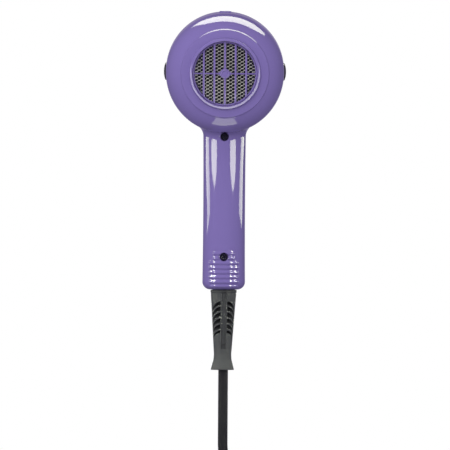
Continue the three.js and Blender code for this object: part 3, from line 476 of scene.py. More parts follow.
def shoulder_points(offset):
    """The head narrowing into the barrel."""
    points = []
    for along in np.linspace(BELT_END, SHOULDER_END, CURVE_POINTS):
        t = (along - BELT_END) / (SHOULDER_END - BELT_END)
        radius = BARREL_RADIUS + (HEAD_RADIUS - BARREL_RADIUS) * (0.5 + 0.5 * math.cos(math.pi * t))
        points.append((radius - offset, along, 0))
    return points


# corners as radius, place along the head's axis and fillet
HEAD_OUTSIDE = TurnedField(rounded_outline([
    (0, -42.4, 0), (23.2, -42.4, 0.4), (23.3, -45.35, 0.3), (25.4, -44.72, 0.35), (25.9, -42.3, 0.3),
    (31.45, -41.5, 0.28), (31.75, -40.75, 0.35), *dome_points(0, 32.1), *shoulder_points(0),
    (BARREL_RADIUS - 0.1, 80.0, 0.4), (BARREL_RADIUS - 0.7, 80.8, 0.4),
    (BARREL_RADIUS - 0.7, BARREL_END, 0.8), (0, BARREL_END, 0),
]))
HEAD_INSIDE = TurnedField(rounded_outline([
    (0, -39.6, 0), (24.6, -39.6, 1.0), *dome_points(WALL, 30.6), *shoulder_points(WALL),
    (BARREL_RADIUS - WALL, BARREL_END + 4, 0), (0, BARREL_END + 4, 0),
]))


def head_distance(p, table):
    """A turned field in the head's frame, a little longer towards the grip."""
    x, along, up = in_head_frame(p)
    radius = np.hypot(x, up)
    stretch = 1 + CHIN * smoothstep((radius - 30) / 10) * (up < 0)
    return table(np.hypot(x, up / stretch), along)


def grip_distance(p, inset=0.0):
    """The grip: an oval bar, a little waisted, with a rounded bottom edge."""
    waist = 0.3 * (np.clip((p[:, 2] - 2) / 54, -1.2, 1.2)) ** 2
    a = GRIP_HALF_WIDTH - inset + waist
    b = GRIP_HALF_DEPTH - inset + waist
    n = GRIP_POWER
    u, v = np.abs(p[:, 0]) / a + 1e-6, np.abs(p[:, 1]) / b + 1e-6
    q = (u ** n + v ** n) ** (1 / n)
    slope = np.hypot(u ** (n - 1) / a, v ** (n - 1) / b) * q ** (1 - n)
    sides = (q - 1) / slope
    bottom = GRIP_BOTTOM + inset - p[:, 2]
    return rounded_common(sides, bottom, GRIP_CORNER - inset)


FAR = 50.0  # a distance that leaves a joined shape as it is


def casing_outside(p):
    head = head_distance(p, HEAD_OUTSIDE)
    _, _, up = in_head_frame(p)
    top = rounded_common(grip_distance(p), p[:, 2] - 80.0, 2.0)
    return fillet_union(head, np.where(up < 0, top, FAR), NECK_FILLET)


def casing_inside(p):
    head = head_distance(p, HEAD_INSIDE)
    grip = rounded_common(grip_distance(p, WALL), p[:, 2] - 78.0, 2.0)
    x, along, up = in_head_frame(p)
    intake = np.maximum(np.hypot(x, up) - INTAKE_RADIUS, along + 38.0)
    collar = np.maximum(np.hypot(p[:, 0], p[:, 1]) - 8.4, p[:, 2] + 50.0)
    return np.minimum(np.minimum(head, grip), np.minimum(intake, collar))


def casing_wall(p):
    return cut(casing_outside(p), casing_inside(p), 0.25)


def grip_ribs(p):
    """Eight rounded bars across the back of the grip."""
    ribs = np.full(len(p), FAR)
    edge = (grip_distance(p) + RIB_DEPTH) * 0.9
    for i, half in enumerate(RIB_HALF_WIDTHS):
        across = np.abs(p[:, 2] - RIB_TOP + i * RIB_PITCH)
        along = np.maximum(np.abs(p[:, 0]) - half + 1.0, 0)
        ribs = np.minimum(ribs, np.hypot(np.hypot(across, along), edge) - RIB_RADIUS)
    return np.where(p[:, 1] < 0, ribs, FAR)


def rear_shell_field(p):
    body = fillet_union(casing_wall(p), grip_ribs(p), 0.5)
    for height in SCREW_HEIGHTS.values():
        post = rod_field(p, 1, (0, height), POST_RADIUS, -POST_REACH, -0.35, 0.3)
        body = np.minimum(body, post)
        body = cut(body, rod_field(p, 1, (0, height), 3.0, -30, SCREW_SEAT, 0.2), 0.6)
        body = cut(body, rod_field(p, 1, (0, height), BORE_RADIUS, -30, 5, 0.1), 0.1)
    x, along, up = in_head_frame(p)
    from_cap = np.hypot(along - CAP_PLACE, up)
    cap = np.maximum(from_cap - 6.5, CAP_SEAT - 0.25 - np.abs(x))
    stem = np.maximum(from_cap - 2.35, 30 - np.abs(x))
    body = cut(body, np.minimum(cap, stem), 0.25)
    return rounded_common(body, p[:, 1] + 0.12, 0.2)


def front_shell_field(p):
    tab = box_field(p, (0, 2.2, 142.3), (4.3, 2.0, 0.9), 0.4)
    body = fillet_union(casing_wall(p), tab, 0.4)
    for height in SCREW_HEIGHTS.values():
        body = np.minimum(body, rod_field(p, 1, (0, height), POST_RADIUS, 0.35, POST_REACH, 0.3))
        body = cut(body, rod_field(p, 1, (0, height), BORE_RADIUS, -5, 10, 0.1), 0.1)
    slot = box_field(p, (0, 16, SLIDER_HEIGHT), (2.2, 6.5, 10.4), 2.0)
    track = box_field(p, (0, 18.2, SLIDER_HEIGHT), (5.6, 2.4, 15.5), 2.0)
    button = rod_field(p, 1, (0, BUTTON_HEIGHT), 5.35, 9, 40, 0.2)
    dial = rod_field(p, 1, (0, DIAL_HEIGHT), 6.85, 9, 40, 0.2)
    for opening, edge in ((slot, 0.3), (track, 0.5), (button, 0.5), (dial, 0.5)):
        body = cut(body, opening, edge)
    return rounded_common(body, 0.12 - p[:, 1], 0.2)


# ---- mesh helpers


def to_mesh(name, bm, material, matrix):
    """A smooth-shaded piece from faces built in millimetres."""
    bmesh.ops.recalc_face_normals(bm, faces=bm.faces)
    mesh = bpy.data.meshes.new(name)
    bm.to_mesh(mesh)
    bm.free()
    mesh.transform(matrix)
    mesh.polygons.foreach_set("use_smooth", np.ones(len(mesh.polygons), bool))
    return link_object(name, mesh, material)


def turned_piece(name, outline, material, matrix, segments):
    """A turned piece about the Y axis, from an outline of (radius, y) points."""
    bm = bmesh.new()
    rings = []
    for radius, along in outline:
        if radius < 1e-6:
            rings.append([bm.verts.new((0, along, 0))])
            continue
        turns = [2 * math.pi * k / segments for k in range(segments)]
        rings.append([bm.verts.new((radius * math.cos(t), along, radius * math.sin(t))) for t in turns])
    pairs = list(zip(rings, rings[1:]))
    if len(rings[0]) > 1 and len(rings[-1]) > 1:
        pairs.append((rings[-1], rings[0]))
    for a, b in pairs:
        for k in range(segments):
            n = (k + 1) % segments
            corners = [a[k % len(a)], a[n % len(a)], b[n % len(b)], b[k % len(b)]]
            unique = list(dict.fromkeys(corners))
            if len(unique) > 2:
                bm.faces.new(unique)
    return to_mesh(name, bm, material, matrix)


def round_wire(name, points, radius, material):
    """A curve of one open spline through points in millimetres, with a round section."""
    data = bpy.data.curves.new(name, "CURVE")
    data.dimensions = "3D"
    data.bevel_depth = radius * MM
    data.bevel_resolution = 5
    data.use_fill_caps = True
    spline = data.splines.new("POLY")
    spline.points.add(len(points) - 1)
    for target, p in zip(spline.points, points):
        target.co = (p[0] * MM, p[1] * MM, p[2] * MM, 1)
    spline.use_smooth = True
    return link_object(name, data, material)


# ---- the lead


def smooth_path(points, steps):
    """Catmull-Rom points through given points."""
    pts = [np.array(p, float) for p in points]
    pts = [2 * pts[0] - pts[1], *pts, 2 * pts[-1] - pts[-2]]
    path = []
    for a, b, c, d in zip(pts, pts[1:], pts[2:], pts[3:]):
        for k in range(steps):
            t = k / steps
            path.append(0.5 * (2 * b + (c - a) * t + (2 * a - 5 * b + 4 * c - d) * t ** 2
                               + (3 * b - a - 3 * c + d) * t ** 3))
    path.append(pts[-2])
    return path


def hop(t, first=0.8):
    """Whole turns of t, with each change eased over the last part of the turn."""
    whole = math.floor(t)
    return whole + float(smoothstep((t - whole - first) / (1 - first)))


def coil_point(turn):
    """Two layers of three turns, in and then out, and most of a turn on top."""
    outer, middle, inner = COIL_RADII
    layer_turns = len(COIL_RADII)
    eased = hop(turn)
    pitch = outer - middle
    if eased <= layer_turns - 1:
        radius = outer - pitch * eased
    elif eased <= layer_turns:
        radius = inner
    elif eased <= 2 * layer_turns - 1:
        radius = inner + pitch * (eased - layer_turns)
    else:
        radius = outer - pitch / 2 * min(1.0, eased - (2 * layer_turns - 1))
    height = CORD_RADIUS
    for layer in (1, 2):
        height += 2 * CORD_RADIUS * min(1.0, max(0.0, eased - (layer * layer_turns - 1)))
    angle = 2 * math.pi * turn - math.pi / 2
    return (COIL_CENTRE[0] + radius * math.cos(angle), COIL_CENTRE[1] + radius * math.sin(angle),
            COIL_BOTTOM + height)


COIL_TURNS = 6.75
CORD_START = -111.1
BEND_TOP = COIL_BOTTOM + CORD_RADIUS + BEND_RADIUS
DROP_POINTS = [(0, 0, CORD_START - 0.3), (0, 0, -125), (0, 0, -140), (0, 0, -155), (0, 0, BEND_TOP)]
TAIL_POINTS = [(-8.2, 35.5, -187.7), (-11.5, 27, -187.9), (-14.8, 18, -189.2), (-18.6, 7, -191.5),
               (-21.7, -1, -192.8), (-22, -7.4, -193)]


def cord_path():
    """Down from the strain relief, round the bend, through the coil and out to the plug."""
    path = smooth_path(DROP_POINTS, 4)
    for degrees in range(6, 91, 6):
        turn = math.radians(degrees)
        path.append((BEND_RADIUS * (1 - math.cos(turn)), 0, BEND_TOP - BEND_RADIUS * math.sin(turn)))
    steps = 36
    path += [coil_point(k / steps) for k in range(0, int(COIL_TURNS * steps) + 1)]
    path += smooth_path([path[-1], *TAIL_POINTS], 4)[1:]
    return [tuple(map(float, p)) for p in path]


PIN_PLACE = 9.5  # either side of the plug's middle
PIN_OUTLINE = [(0, -81), (1.2, -80.9), (2.0, -80.3), (2.35, -79.4), (2.4, -78.6), (2.4, -72.0),
               (2.15, -71.8), (2.15, -57.8), (0, -57.8)]


def plug_field(p):
    """A two-pin plug: a ribbed sleeve that widens into a grip and a flat face with two sockets."""
    q = p - np.array(PLUG_ENTRY)
    along = -q[:, 1]
    stations = np.array([0, 6, 18, 21, 26, 38, 44, 48, 54])
    wide = np.interp(along, stations, [4.7, 5.0, 5.8, 8.0, 10.4, 12.4, 15.0, 17.3, 17.5])
    tall = np.interp(along, stations, [4.7, 5.0, 5.8, 7.6, 9.0, 9.8, 11.2, 12.8, 13.0])
    u, v = q[:, 0] / wide, q[:, 2] / tall
    size = np.hypot(u, v) + 1e-6
    sides = (size - 1) * size / np.hypot(u / wide, v / tall)
    ends = np.maximum(-along, along - 54)
    body = rounded_common(sides, ends, 1.2)
    for k in range(4):
        groove = np.maximum(np.abs(along - 4.5 - 3.6 * k) - 0.7, 4.4 - np.hypot(q[:, 0], q[:, 2]))
        groove = np.maximum(groove, 1.3 - np.abs(q[:, 0]))
        body = cut(body, groove, 0.3)
    for k in range(5):
        ridge = np.hypot(along - 26 - 3 * k, (sides + 0.3)) - 0.8
        ridge = np.maximum(ridge, np.abs(q[:, 2]) - 5.5)
        body = fillet_union(body, ridge, 0.3)
    for side in (-1, 1):
        socket = rod_field(q, 1, (side * PIN_PLACE, 0), 2.5, -60, -49, 0.1)
        body = cut(body, socket, 0.2)
    return body


def plug():
    pieces = [moulded("plug_body_skin", plug_field, (-41, -64, -208), (-3, -6.5, -178), 0.6, black_matt,
                      "black_plastic", "plug_body")]
    outline = [(radius, y - PLUG_ENTRY[1]) for radius, y in PIN_OUTLINE]
    for name, side in (("plug_pin_left", -1), ("plug_pin_right", 1)):
        middle = (PLUG_ENTRY[0] + side * PIN_PLACE, PLUG_ENTRY[1], PLUG_ENTRY[2])
        place = Matrix.Scale(MM, 4) @ Matrix.Translation(middle)
        pin = turned_piece(name + "_metal", outline, zinc_steel, place, 40)
        pieces.append(stands_for(pin, "plain_steel", name))
    return pieces


def cord_tie():
    """A rubber strap round the turns, with a small buckle on it."""
    half_y, half_z, corner = 12.0, 11.2, 2.4
    centre = (COIL_CENTRE[0], COIL_CENTRE[1] + COIL_RADII[1], COIL_BOTTOM + 3 * CORD_RADIUS)

    def field(p):
        q = p - np.array(centre)
        flat = np.stack([np.zeros(len(q)), q[:, 1], q[:, 2]], 1)
        shell = np.abs(box_field(flat, (0, 0, 0), (1e3, half_y, half_z), corner)) - 0.42
        strap = rounded_common(shell, np.abs(q[:, 0]) - 5.8, 0.3)
        buckle = box_field(q, (0, 4, half_z + 0.5), (6.6, 2.6, 1.0), 0.5)
        return fillet_union(strap, buckle, 0.3)

    low = (centre[0] - 7.5, centre[1] - 14, centre[2] - 13.5)
    high = (centre[0] + 7.5, centre[1] + 14, centre[2] + 14)
    return moulded("cord_tie_strap", field, low, high, 0.45, relief_pvc, "relief_rubber", "cord_tie")


def lead():
    path = cord_path()
    print("lead length, mm", round(sum(math.dist(a, b) for a, b in zip(path, path[1:])), 1))
    cord = round_wire("mains_lead", path, CORD_RADIUS, cord_pvc)
    stands_for(cord, "cord_sheath", "cord_drop", "cord_coil", "cord_tail")
    pieces = [*plug(), cord_tie()]


lead()

# ---- strain relief and shells


SLOT_HEIGHTS = (-67.3, -71.3, -75.5, -79.8, -84.1, -87.8)
SLOT_SIZES = (0.85, 1.0, 1.0, 1.0, 0.95, 0.6)


def relief_half_width(z):
    """Flared at the bottom end, narrowest just above the flare, then widening to the grip."""
    heights = (RELIEF_BOTTOM, -112.0, -107.5, -103.8, -96.5, -83.6, -71.4, -62.0, RELIEF_TOP)
    halves = (8.45, 7.6, 6.45, 6.25, 6.75, 7.6, 8.35, 9.05, 9.15)
    return np.interp(z, heights, halves)


def relief_field(p):
    """The moulded sleeve: tapered, with a lip on top, a grooved spine, slanted slots and a flared end."""
    z = p[:, 2]
    x = p[:, 0] + 0.6 * np.clip((RELIEF_TOP - z) / 57, 0, 1)
    y = p[:, 1]
    radius = np.hypot(x, y)
    sides = radius - relief_half_width(z)
    body = rounded_common(sides, np.maximum(RELIEF_BOTTOM - z, z - RELIEF_TOP), 0.5)
    lip = rounded_common(radius - 9.4, np.abs(z - RELIEF_TOP + 0.9) - 0.9, 0.35)
    body = fillet_union(body, lip, 0.3)
    neck = np.maximum(radius - 8.0, np.abs(z + 56) - 3)
    flange = rounded_common(radius - 11, np.abs(z + 52.85) - 0.85, 0.3)
    body = np.minimum(body, np.minimum(neck, flange))
    turn = np.abs(np.arctan2(x - 0.5 * (y < 0) + 0.5 * (y > 0), np.abs(y)))
    arc = turn * np.minimum(radius, 9.5)
    floor = -(sides + np.interp(z, [-100.2, -97.2, -96.5], [1.8, 1.8, 1.1]))
    groove = np.maximum(np.maximum(arc - 1.5, floor), np.maximum(-100.0 - z, z + 59.5))
    body = cut(body, groove, 0.3)
    ridge = np.hypot(arc - 1.95, sides + 0.05) - 0.36
    body = fillet_union(body, np.maximum(ridge, np.maximum(-96.0 - z, z + 60.0)), 0.3)
    for middle, size in zip(SLOT_HEIGHTS, SLOT_SIZES):
        centre = middle - 0.085 * np.maximum(arc - 2.1, 0) ** 2
        half = size * np.interp(arc, [2.1, 9.0], [1.5, 1.3])
        slot = np.maximum(np.abs(z - centre) - half, np.maximum(2.4 - arc, -(sides + 4.8)))
        slot = np.maximum(slot, (turn - 1.25) * 7)
        body = cut(body, slot, 0.3)
    cup = np.maximum(radius - np.interp(z, [-115, -111.1], [5.6, 4.0]), z + 111.1)
    return cut(body, cup, 0.3)


moulded("strain_relief_sleeve", relief_field, (-12, -12, -116), (12, 12, -50.6),
        0.42, relief_pvc, "relief_rubber", "strain_relief")
moulded("rear_shell_skin", rear_shell_field, (-46, -48.02, -60), (46, 1.2, 146), NET_STEP, purple_abs,
        "purple_shell", "rear_shell")
moulded("front_shell_skin", front_shell_field, (-46, -1.2, -60), (46, 94, 146), NET_STEP * 1.2,
        purple_abs, "purple_shell", "front_shell")

# ---- intake grille, pressed screen and impeller


GRILLE_PITCH = 7.6
DIAMOND_REACH = (5.3, 4.5)
HUB_RADIUS = 3.6
CROWN_RADIUS = 2.55  # the ring on the hub


def grille_field(q):
    """The ring, five upright ribs, a crossbar and a hub on a diamond, in the head's own frame."""
    x, y, z = q.T
    radius = np.hypot(x, z)
    slope = np.interp(radius, [21.8, 23.1], [-41.6, -42.5])
    body = np.maximum(np.maximum(radius - 23.05, 21.9 - radius), np.maximum(slope - y, y + 38.5))
    inside = radius - 22.6
    for i in (-2, -1, 0, 1, 2):
        away = np.maximum(np.abs(x - GRILLE_PITCH * i) - 0.3, 0)
        rib = np.hypot(away, np.maximum(np.abs(y + 42.0) - 0.55, 0)) - 0.42
        body = fillet_union(body, np.maximum(rib, inside), 0.3)
    crossbar = np.hypot(np.maximum(np.abs(z) - 0.2, 0), np.maximum(np.abs(y + 41.5) - 0.35, 0)) - 0.33
    body = fillet_union(body, np.maximum(crossbar, inside), 0.3)
    across, up = DIAMOND_REACH
    diamond = (np.abs(x) / across + np.abs(z) / up - 1) * across * up / math.hypot(across, up)
    diamond = rounded_common(diamond, np.abs(y + 41.5) - 0.9, 0.3)
    body = fillet_union(body, diamond, 0.15)
    hub = rounded_common(radius - HUB_RADIUS, np.abs(y + 41.9) - 1.2, 0.5)
    body = fillet_union(body, hub, 0.15)
    crown = np.hypot(radius - CROWN_RADIUS, (y + 43.05) * 0.8) - 0.5
    return fillet_union(body, crown, 0.2)


moulded("intake_grille_bars", grille_field, (-24.1, -44.5, -24.1), (24.1, -37.5, 24.1),
        0.33, purple_abs, "purple_shell", "intake_grille", in_head=True)

SCREEN_COLUMN = 2.05
SCREEN_ROW = 2.45
SCREEN_HOLE = (1.22, 0.96)
SCREEN_LEAN = 0.2  # how far the holes are turned, in radians
SCREEN_RADIUS = 21.4
SCREEN_REAR = -40.6
SCREEN_THICKNESS = 0.6


def screen_cell():
    """Twelve points round one cell of the staggered pattern: six corners and the middles between."""
    a = (SCREEN_ROW ** 2 / (4 * SCREEN_COLUMN) + SCREEN_COLUMN) / 2
    b = SCREEN_COLUMN - a
    corners = [(a, 0), (b, 1), (-b, 1), (-a, 0), (-b, -1), (b, -1)]
    corners = [np.array([x, z * SCREEN_ROW / 2]) for x, z in corners]
    points = []
    for corner, following in zip(corners, corners[1:] + corners[:1]):
        points += [corner, (corner + following) / 2]
    return points


def intake_screen():
    """Pressed steel mesh: staggered oval holes with raised, rounded strands between them."""
    bm = bmesh.new()
    cell = screen_cell()
    shared = {}

    def corner(x, z, depth):
        key = (round(x, 2), round(z, 2), depth)
        if key not in shared:
            shared[key] = bm.verts.new((x, SCREEN_REAR + depth, z))
        return shared[key]

    columns = int(SCREEN_RADIUS / SCREEN_COLUMN) + 1
    rows = int(SCREEN_RADIUS / SCREEN_ROW) + 1
    for i in range(-columns, columns + 1):
        for j in range(-rows, rows + 1):
            cx = i * SCREEN_COLUMN
            cz = (j + 0.5 * (i % 2)) * SCREEN_ROW
            if math.hypot(cx, cz) > SCREEN_RADIUS - 0.2:
                continue
            spokes = []
            for ex, ez in cell:
                turn = math.atan2(ez, ex) - SCREEN_LEAN
                across, up = SCREEN_HOLE[0] * math.cos(turn), SCREEN_HOLE[1] * math.sin(turn)
                hx = across * math.cos(SCREEN_LEAN) - up * math.sin(SCREEN_LEAN)
                hz = across * math.sin(SCREEN_LEAN) + up * math.cos(SCREEN_LEAN)
                spoke = [corner(cx + ex, cz + ez, 0.0)]
                for x, depth, z in ((0.7 * hx + 0.3 * ex, 0.08, 0.7 * hz + 0.3 * ez), (hx, 0.3, hz),
                                    (hx * 1.02, SCREEN_THICKNESS, hz * 1.02)):
                    spoke.append(bm.verts.new((cx + x, SCREEN_REAR + depth, cz + z)))
                spokes.append([*spoke, corner(cx + ex, cz + ez, SCREEN_THICKNESS)])
            rings = list(zip(*spokes))
            for a, b in zip(rings, rings[1:]):
                for k in range(len(cell)):
                    n = (k + 1) % len(cell)
                    bm.faces.new([a[k], a[n], b[n], b[k]])
    piece = to_mesh("intake_screen_mesh", bm, screen_steel, head_matrix())
    stands_for(piece, "screen_steel", "intake_screen")


intake_screen()

BLADE_COUNT = 7
BLADE_SPAN = math.radians(60)  # each blade reaches past the start of the next
BLADE_LENGTH = 12.0
BLADE_MIDDLE = -21.5
BLADE_TIP = 25.7
FAN_HUB = TurnedField(rounded_outline([
    (0, -33, 0), (5, -32.3, 2), (8.6, -29.6, 2), (9.5, -26, 1.5), (9.5, -14, 0.4), (7.9, -14, 0.3),
    (7.9, -26, 0.8), (3.4, -26, 0.8), (3.4, -16, 0.3), (1.15, -16, 0.2), (1.15, -29, 0), (0, -29, 0),
], 6), 18.0)


def impeller_field(q):
    """Seven screw-shaped blades on a hollow hub, in the head's own frame."""
    x, y, z = q.T
    radius = np.hypot(x, z)
    twist = BLADE_SPAN / BLADE_LENGTH
    pitch = 2 * math.pi / BLADE_COUNT
    angle = np.arctan2(z, x) + twist * (y - BLADE_MIDDLE)
    angle = np.mod(angle + pitch / 2, pitch) - pitch / 2
    thickness = np.interp(radius, [9.5, BLADE_TIP], [0.75, 0.5])
    blades = np.abs(angle) * radius / np.hypot(1, twist * radius) - thickness
    ends = np.abs(y - BLADE_MIDDLE) - BLADE_LENGTH / 2
    ends = np.maximum(ends, np.maximum(radius - BLADE_TIP, 8.7 - radius))
    blades = rounded_common(blades, ends, 0.4)
    return fillet_union(blades, FAN_HUB(radius, y), 0.8)


moulded("fan_impeller_blades", impeller_field, (-27, -34.5, -27), (27, -13, 27),
        0.55, duct_nylon, "duct_plastic", "fan_impeller", "rotor", in_head=True)

# ---- screws and side caps


def screws():
    """Dark screws with a cross recess and a threaded shank."""
    for name, height in SCREW_HEIGHTS.items():
        def field(p, height=height):
            q = p - np.array([0, 0, height])
            radius = np.hypot(q[:, 0], q[:, 2])
            head = rounded_common(radius - 2.65, np.abs(q[:, 1] - SCREW_SEAT + 1.2) - 1.15, 0.55)
            for angle in (0.5, 0.5 + math.pi / 2):
                along = q[:, 0] * math.cos(angle) + q[:, 2] * math.sin(angle)
                across = -q[:, 0] * math.sin(angle) + q[:, 2] * math.cos(angle)
                slot = np.maximum(np.abs(along) - 1.6, np.abs(across) - 0.34)
                slot = np.maximum(slot, q[:, 1] - SCREW_SEAT + 1.2)
                head = cut(head, slot, 0.12)
            wave = np.cos(q[:, 1] / 0.9 * 2 * np.pi - np.arctan2(q[:, 2], q[:, 0]))
            thread = radius - 1.15 - 0.18 * wave
            shank = np.maximum(thread, np.maximum(SCREW_SEAT - q[:, 1], q[:, 1] - 8.8))
            return np.minimum(head, shank)

        low, high = (-3.2, -15.2, height - 3.2), (3.2, 9.6, height + 3.2)
        moulded(name + "_turned", field, low, high, 0.22, black_steel, "black_steel", name)


def side_caps():
    """Domed dark caps with a shallow ring, one each side of the head."""
    seat = CAP_SEAT
    profile = rounded_outline([
        (0, seat - 4, 0), (2, seat - 4, 0.4), (2, seat, 0), (6.3, seat, 0.3), (6.3, seat + 0.9, 0.8),
        (5.0, seat + 1.5, 0.3), (4.7, seat + 1.4, 0.2), (4.4, seat + 1.65, 0.5), (2.4, seat + 2.05, 1.5),
        (0.8, seat + 2.15, 1.0), (0, seat + 2.16, 0)], 6)
    for name, side in (("side_cap_left", -1), ("side_cap_right", 1)):
        turn = Matrix.Rotation(-side * math.pi / 2, 4, "Z")
        place = head_matrix() @ Matrix.Translation((0, CAP_PLACE, 0)) @ turn
        stands_for(turned_piece(name + "_dome", profile, dark_gloss, place, 64), "dark_plastic", name)


screws()
side_caps()

# ---- carried-over frame nodes

NODE_MATERIALS = {
    black_steel: ["screen_retainer"],
    zinc_steel: ["motor_shaft", "motor_can", "thermal_fuse", "clamp_screw_left",
                 "clamp_screw_right", "cold_shot_spring"],
    copper: ["motor_armature"],
    nichrome: ["heater_coil_low", "heater_coil_high"],
    brass: ["motor_commutator", "rear_bearing", "front_bearing", "noise_capacitor"],
    ferrite: ["motor_magnet_left", "motor_magnet_right", "carbon_brush_left", "carbon_brush_right"],
    duct_nylon: ["fan_duct"],
    white_nylon: ["thermostat", "cord_clamp"],
    black_matt: ["motor_end_cap", "speed_switch_body", "cold_shot_switch", "voltage_switch",
                 "diode_1", "diode_2", "diode_3", "diode_4"],
    mica_sheet: ["mica_board_level", "mica_board_upright", "mica_liner"],
    dark_gloss: ["outlet_grille", "speed_slider", "cold_shot_button", "voltage_dial"],
    green_board: ["rectifier_board"],
    cord_pvc: ["cord_sheath_end"],
    red_sleeve: ["wire_live"],
    blue_sleeve: ["wire_neutral"],
}
SOFT_EDGED = ["outlet_grille", "speed_slider", "cold_shot_button", "voltage_dial"]


def finish_nodes():
    """Materials for the pieces taken over as they are, and small rounds on the edges of those in sight."""
    for name in SOFT_EDGED:
        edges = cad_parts[name].modifiers.new("edges", "BEVEL")
        edges.width = 0.3 * MM
        edges.segments = 3
        edges.limit_method = "ANGLE"
        edges.angle_limit = math.radians(35)
    for material, nodes in NODE_MATERIALS.items():
        for node in nodes:
            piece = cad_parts[node]
            piece.data.materials.clear()
            piece.data.materials.append(material)


finish_nodes()

# ---- floor, world and lights


def make_floor():
    """A pale floor that turns to plain white further out."""
    bpy.ops.mesh.primitive_circle_add(vertices=96, radius=30, fill_type="NGON",
                                      location=(0, 0, (CORD_FLOOR - 0.2) * MM))
    floor = bpy.context.object
    floor.name = "floor"
    material, tree, shader = new_material("pale_floor")
    put(shader, Base_Color=(0.9, 0.9, 0.9, 1), Roughness=0.7)
    place = add(tree, "TexCoord")
    distance = add(tree, "VectorMath")
    distance.operation = "LENGTH"
    link(tree, place.outputs["Object"], distance.inputs[0])
    white = add(tree, "Emission", Strength=1.0)
    outward = ramp(tree, distance.outputs["Value"], 0, 1, 0.25, 0.5)
    blend = blended(tree, outward, shader.outputs["BSDF"], white.outputs["Emission"])
    link(tree, blend, tree.nodes["Material Output"].inputs["Surface"])
    floor.data.materials.append(material)
    floor.visible_glossy = False
    floor.visible_diffuse = False


AMBIENT = (0.86, 0.87, 0.95)
GLOSS = (0.8, 0.68, 1.15)
AMBIENT_GLOSS = 0.15  # how bright the studio's walls look in the gloss
AMBIENT_FILL = 0.5  # how much they light


def make_world():
    """White to the camera, a dim grey studio in reflections and a brighter one as light."""
    world = bpy.data.worlds.new("studio")
    bpy.context.scene.world = world
    world.use_nodes = True
    tree = world.node_tree
    white = put(tree.nodes["Background"], Color=(1, 1, 1, 1))
    path = add(tree, "LightPath")
    chosen = white.outputs["Background"]
    studios = (("Is Glossy Ray", GLOSS, AMBIENT_GLOSS), ("Is Diffuse Ray", AMBIENT, AMBIENT_FILL))
    for ray, colour, strength in studios:
        studio = add(tree, "Background", Color=(*colour, 1), Strength=strength)
        chosen = blended(tree, path.outputs[ray], chosen, studio.outputs["Background"])
    link(tree, chosen, tree.nodes["World Output"].inputs["Surface"])


def softbox(name, place, aim, size, radiance):
    """A rectangular light of even radiance that lights the dryer but isn't seen in its gloss."""
    data = bpy.data.lights.new(name, "AREA")
    data.shape = "RECTANGLE"
    data.size, data.size_y = size
    data.energy = radiance * math.pi * size[0] * size[1]
    lamp = bpy.data.objects.new(name, data)
    lamp.location = place
    lamp.rotation_euler = (Vector(aim) - Vector(place)).to_track_quat("-Z", "Y").to_euler()
    lamp.visible_camera = False
    lamp.visible_glossy = False
    bpy.context.scene.collection.objects.link(lamp)


CARD_COLOUR = (0.97, 1.0, 0.79)
CARD_DISTANCE = 0.6


def glow(name, colour, near, far=None, one_sided=False):
    """An emission seen directly in the gloss, which may fade along Y or show on its card's front only."""
    material, tree, shader = new_material(name)
    tree.nodes.remove(shader)
    emission = add(tree, "Emission", Color=(*colour, 1), Strength=near)
    out = emission.outputs["Emission"]
    if far is not None:
        place = add(tree, "TexCoord")
        split = add(tree, "SeparateXYZ")
        link(tree, place.outputs["Object"], split.inputs["Vector"])
        link(tree, ramp(tree, split.outputs["Y"], near, far, 0.05, 0.7), emission.inputs["Strength"])
    if one_sided:
        clear = add(tree, "BsdfTransparent")
        facing = add(tree, "NewGeometry")
        out = blended(tree, facing.outputs["Backfacing"], out, clear.outputs["BSDF"])
    path = add(tree, "LightPath")
    out = blended(tree, ramp(tree, path.outputs["Ray Depth"], 0, 1, 1.2, 1.8), out)
    link(tree, out, tree.nodes["Material Output"].inputs["Surface"])
    material.cycles.emission_sampling = "NONE"
    return material


def card(name, corners, faces, material):
    """A light card seen only in the gloss."""
    mesh = bpy.data.meshes.new(name)
    mesh.from_pydata(corners, [], faces)
    piece = link_object(name, mesh, material)
    piece.visible_camera = False
    piece.visible_diffuse = False
    piece.visible_transmission = False
    piece.visible_volume_scatter = False
    piece.visible_shadow = False


def level_card(name, outline, height, material):
    card(name, [(x, y, height) for x, y in outline], [tuple(range(len(outline)))], material)


def upright_card(name, side, rows, material, distance=CARD_DISTANCE):
    """A card bent round the dryer. Each row is a height in millimetres and its corners in degrees."""
    corners = []
    for height, *places in rows:
        for degrees in places:
            turn = math.radians(degrees)
            corners.append((side * distance * math.sin(turn), -distance * math.cos(turn), height * MM))
    wide = len(rows[0]) - 1
    faces = [(k, k + 1, k + wide + 1, k + wide) for k in range(len(corners) - wide) if (k + 1) % wide]
    card(name, corners, faces, material)


# the upright cards: a height in millimetres and the two ends of the card there, in degrees
INNER_LEFT = [(45, 46, 66), (43.5, 40, 75), (40, 38.5, 76), (34, 38, 76), (27, 39.5, 73), (20, 41.5, 66),
              (14.5, 52.5, 53)]
INNER_RIGHT = [(44.5, 33, 53), (43, 28, 60), (40, 27, 62), (34, 27, 62), (27, 28, 62), (20, 32, 59),
               (15.5, 38.5, 53), (11.5, 46, 46.5)]
OUTER_LEFT = [(53, 119, 124), (48, 96, 124), (31, 93, 124), (14, 87, 117), (6, 85, 112), (-1, 84.5, 108.5),
              (-15, 109, 110)]
OUTER_RIGHT = [(52, 129, 135), (48, 104, 134), (34, 98.5, 127), (20, 94, 124.5), (4, 91, 123),
               (-1, 91, 122), (-11, 117, 118)]
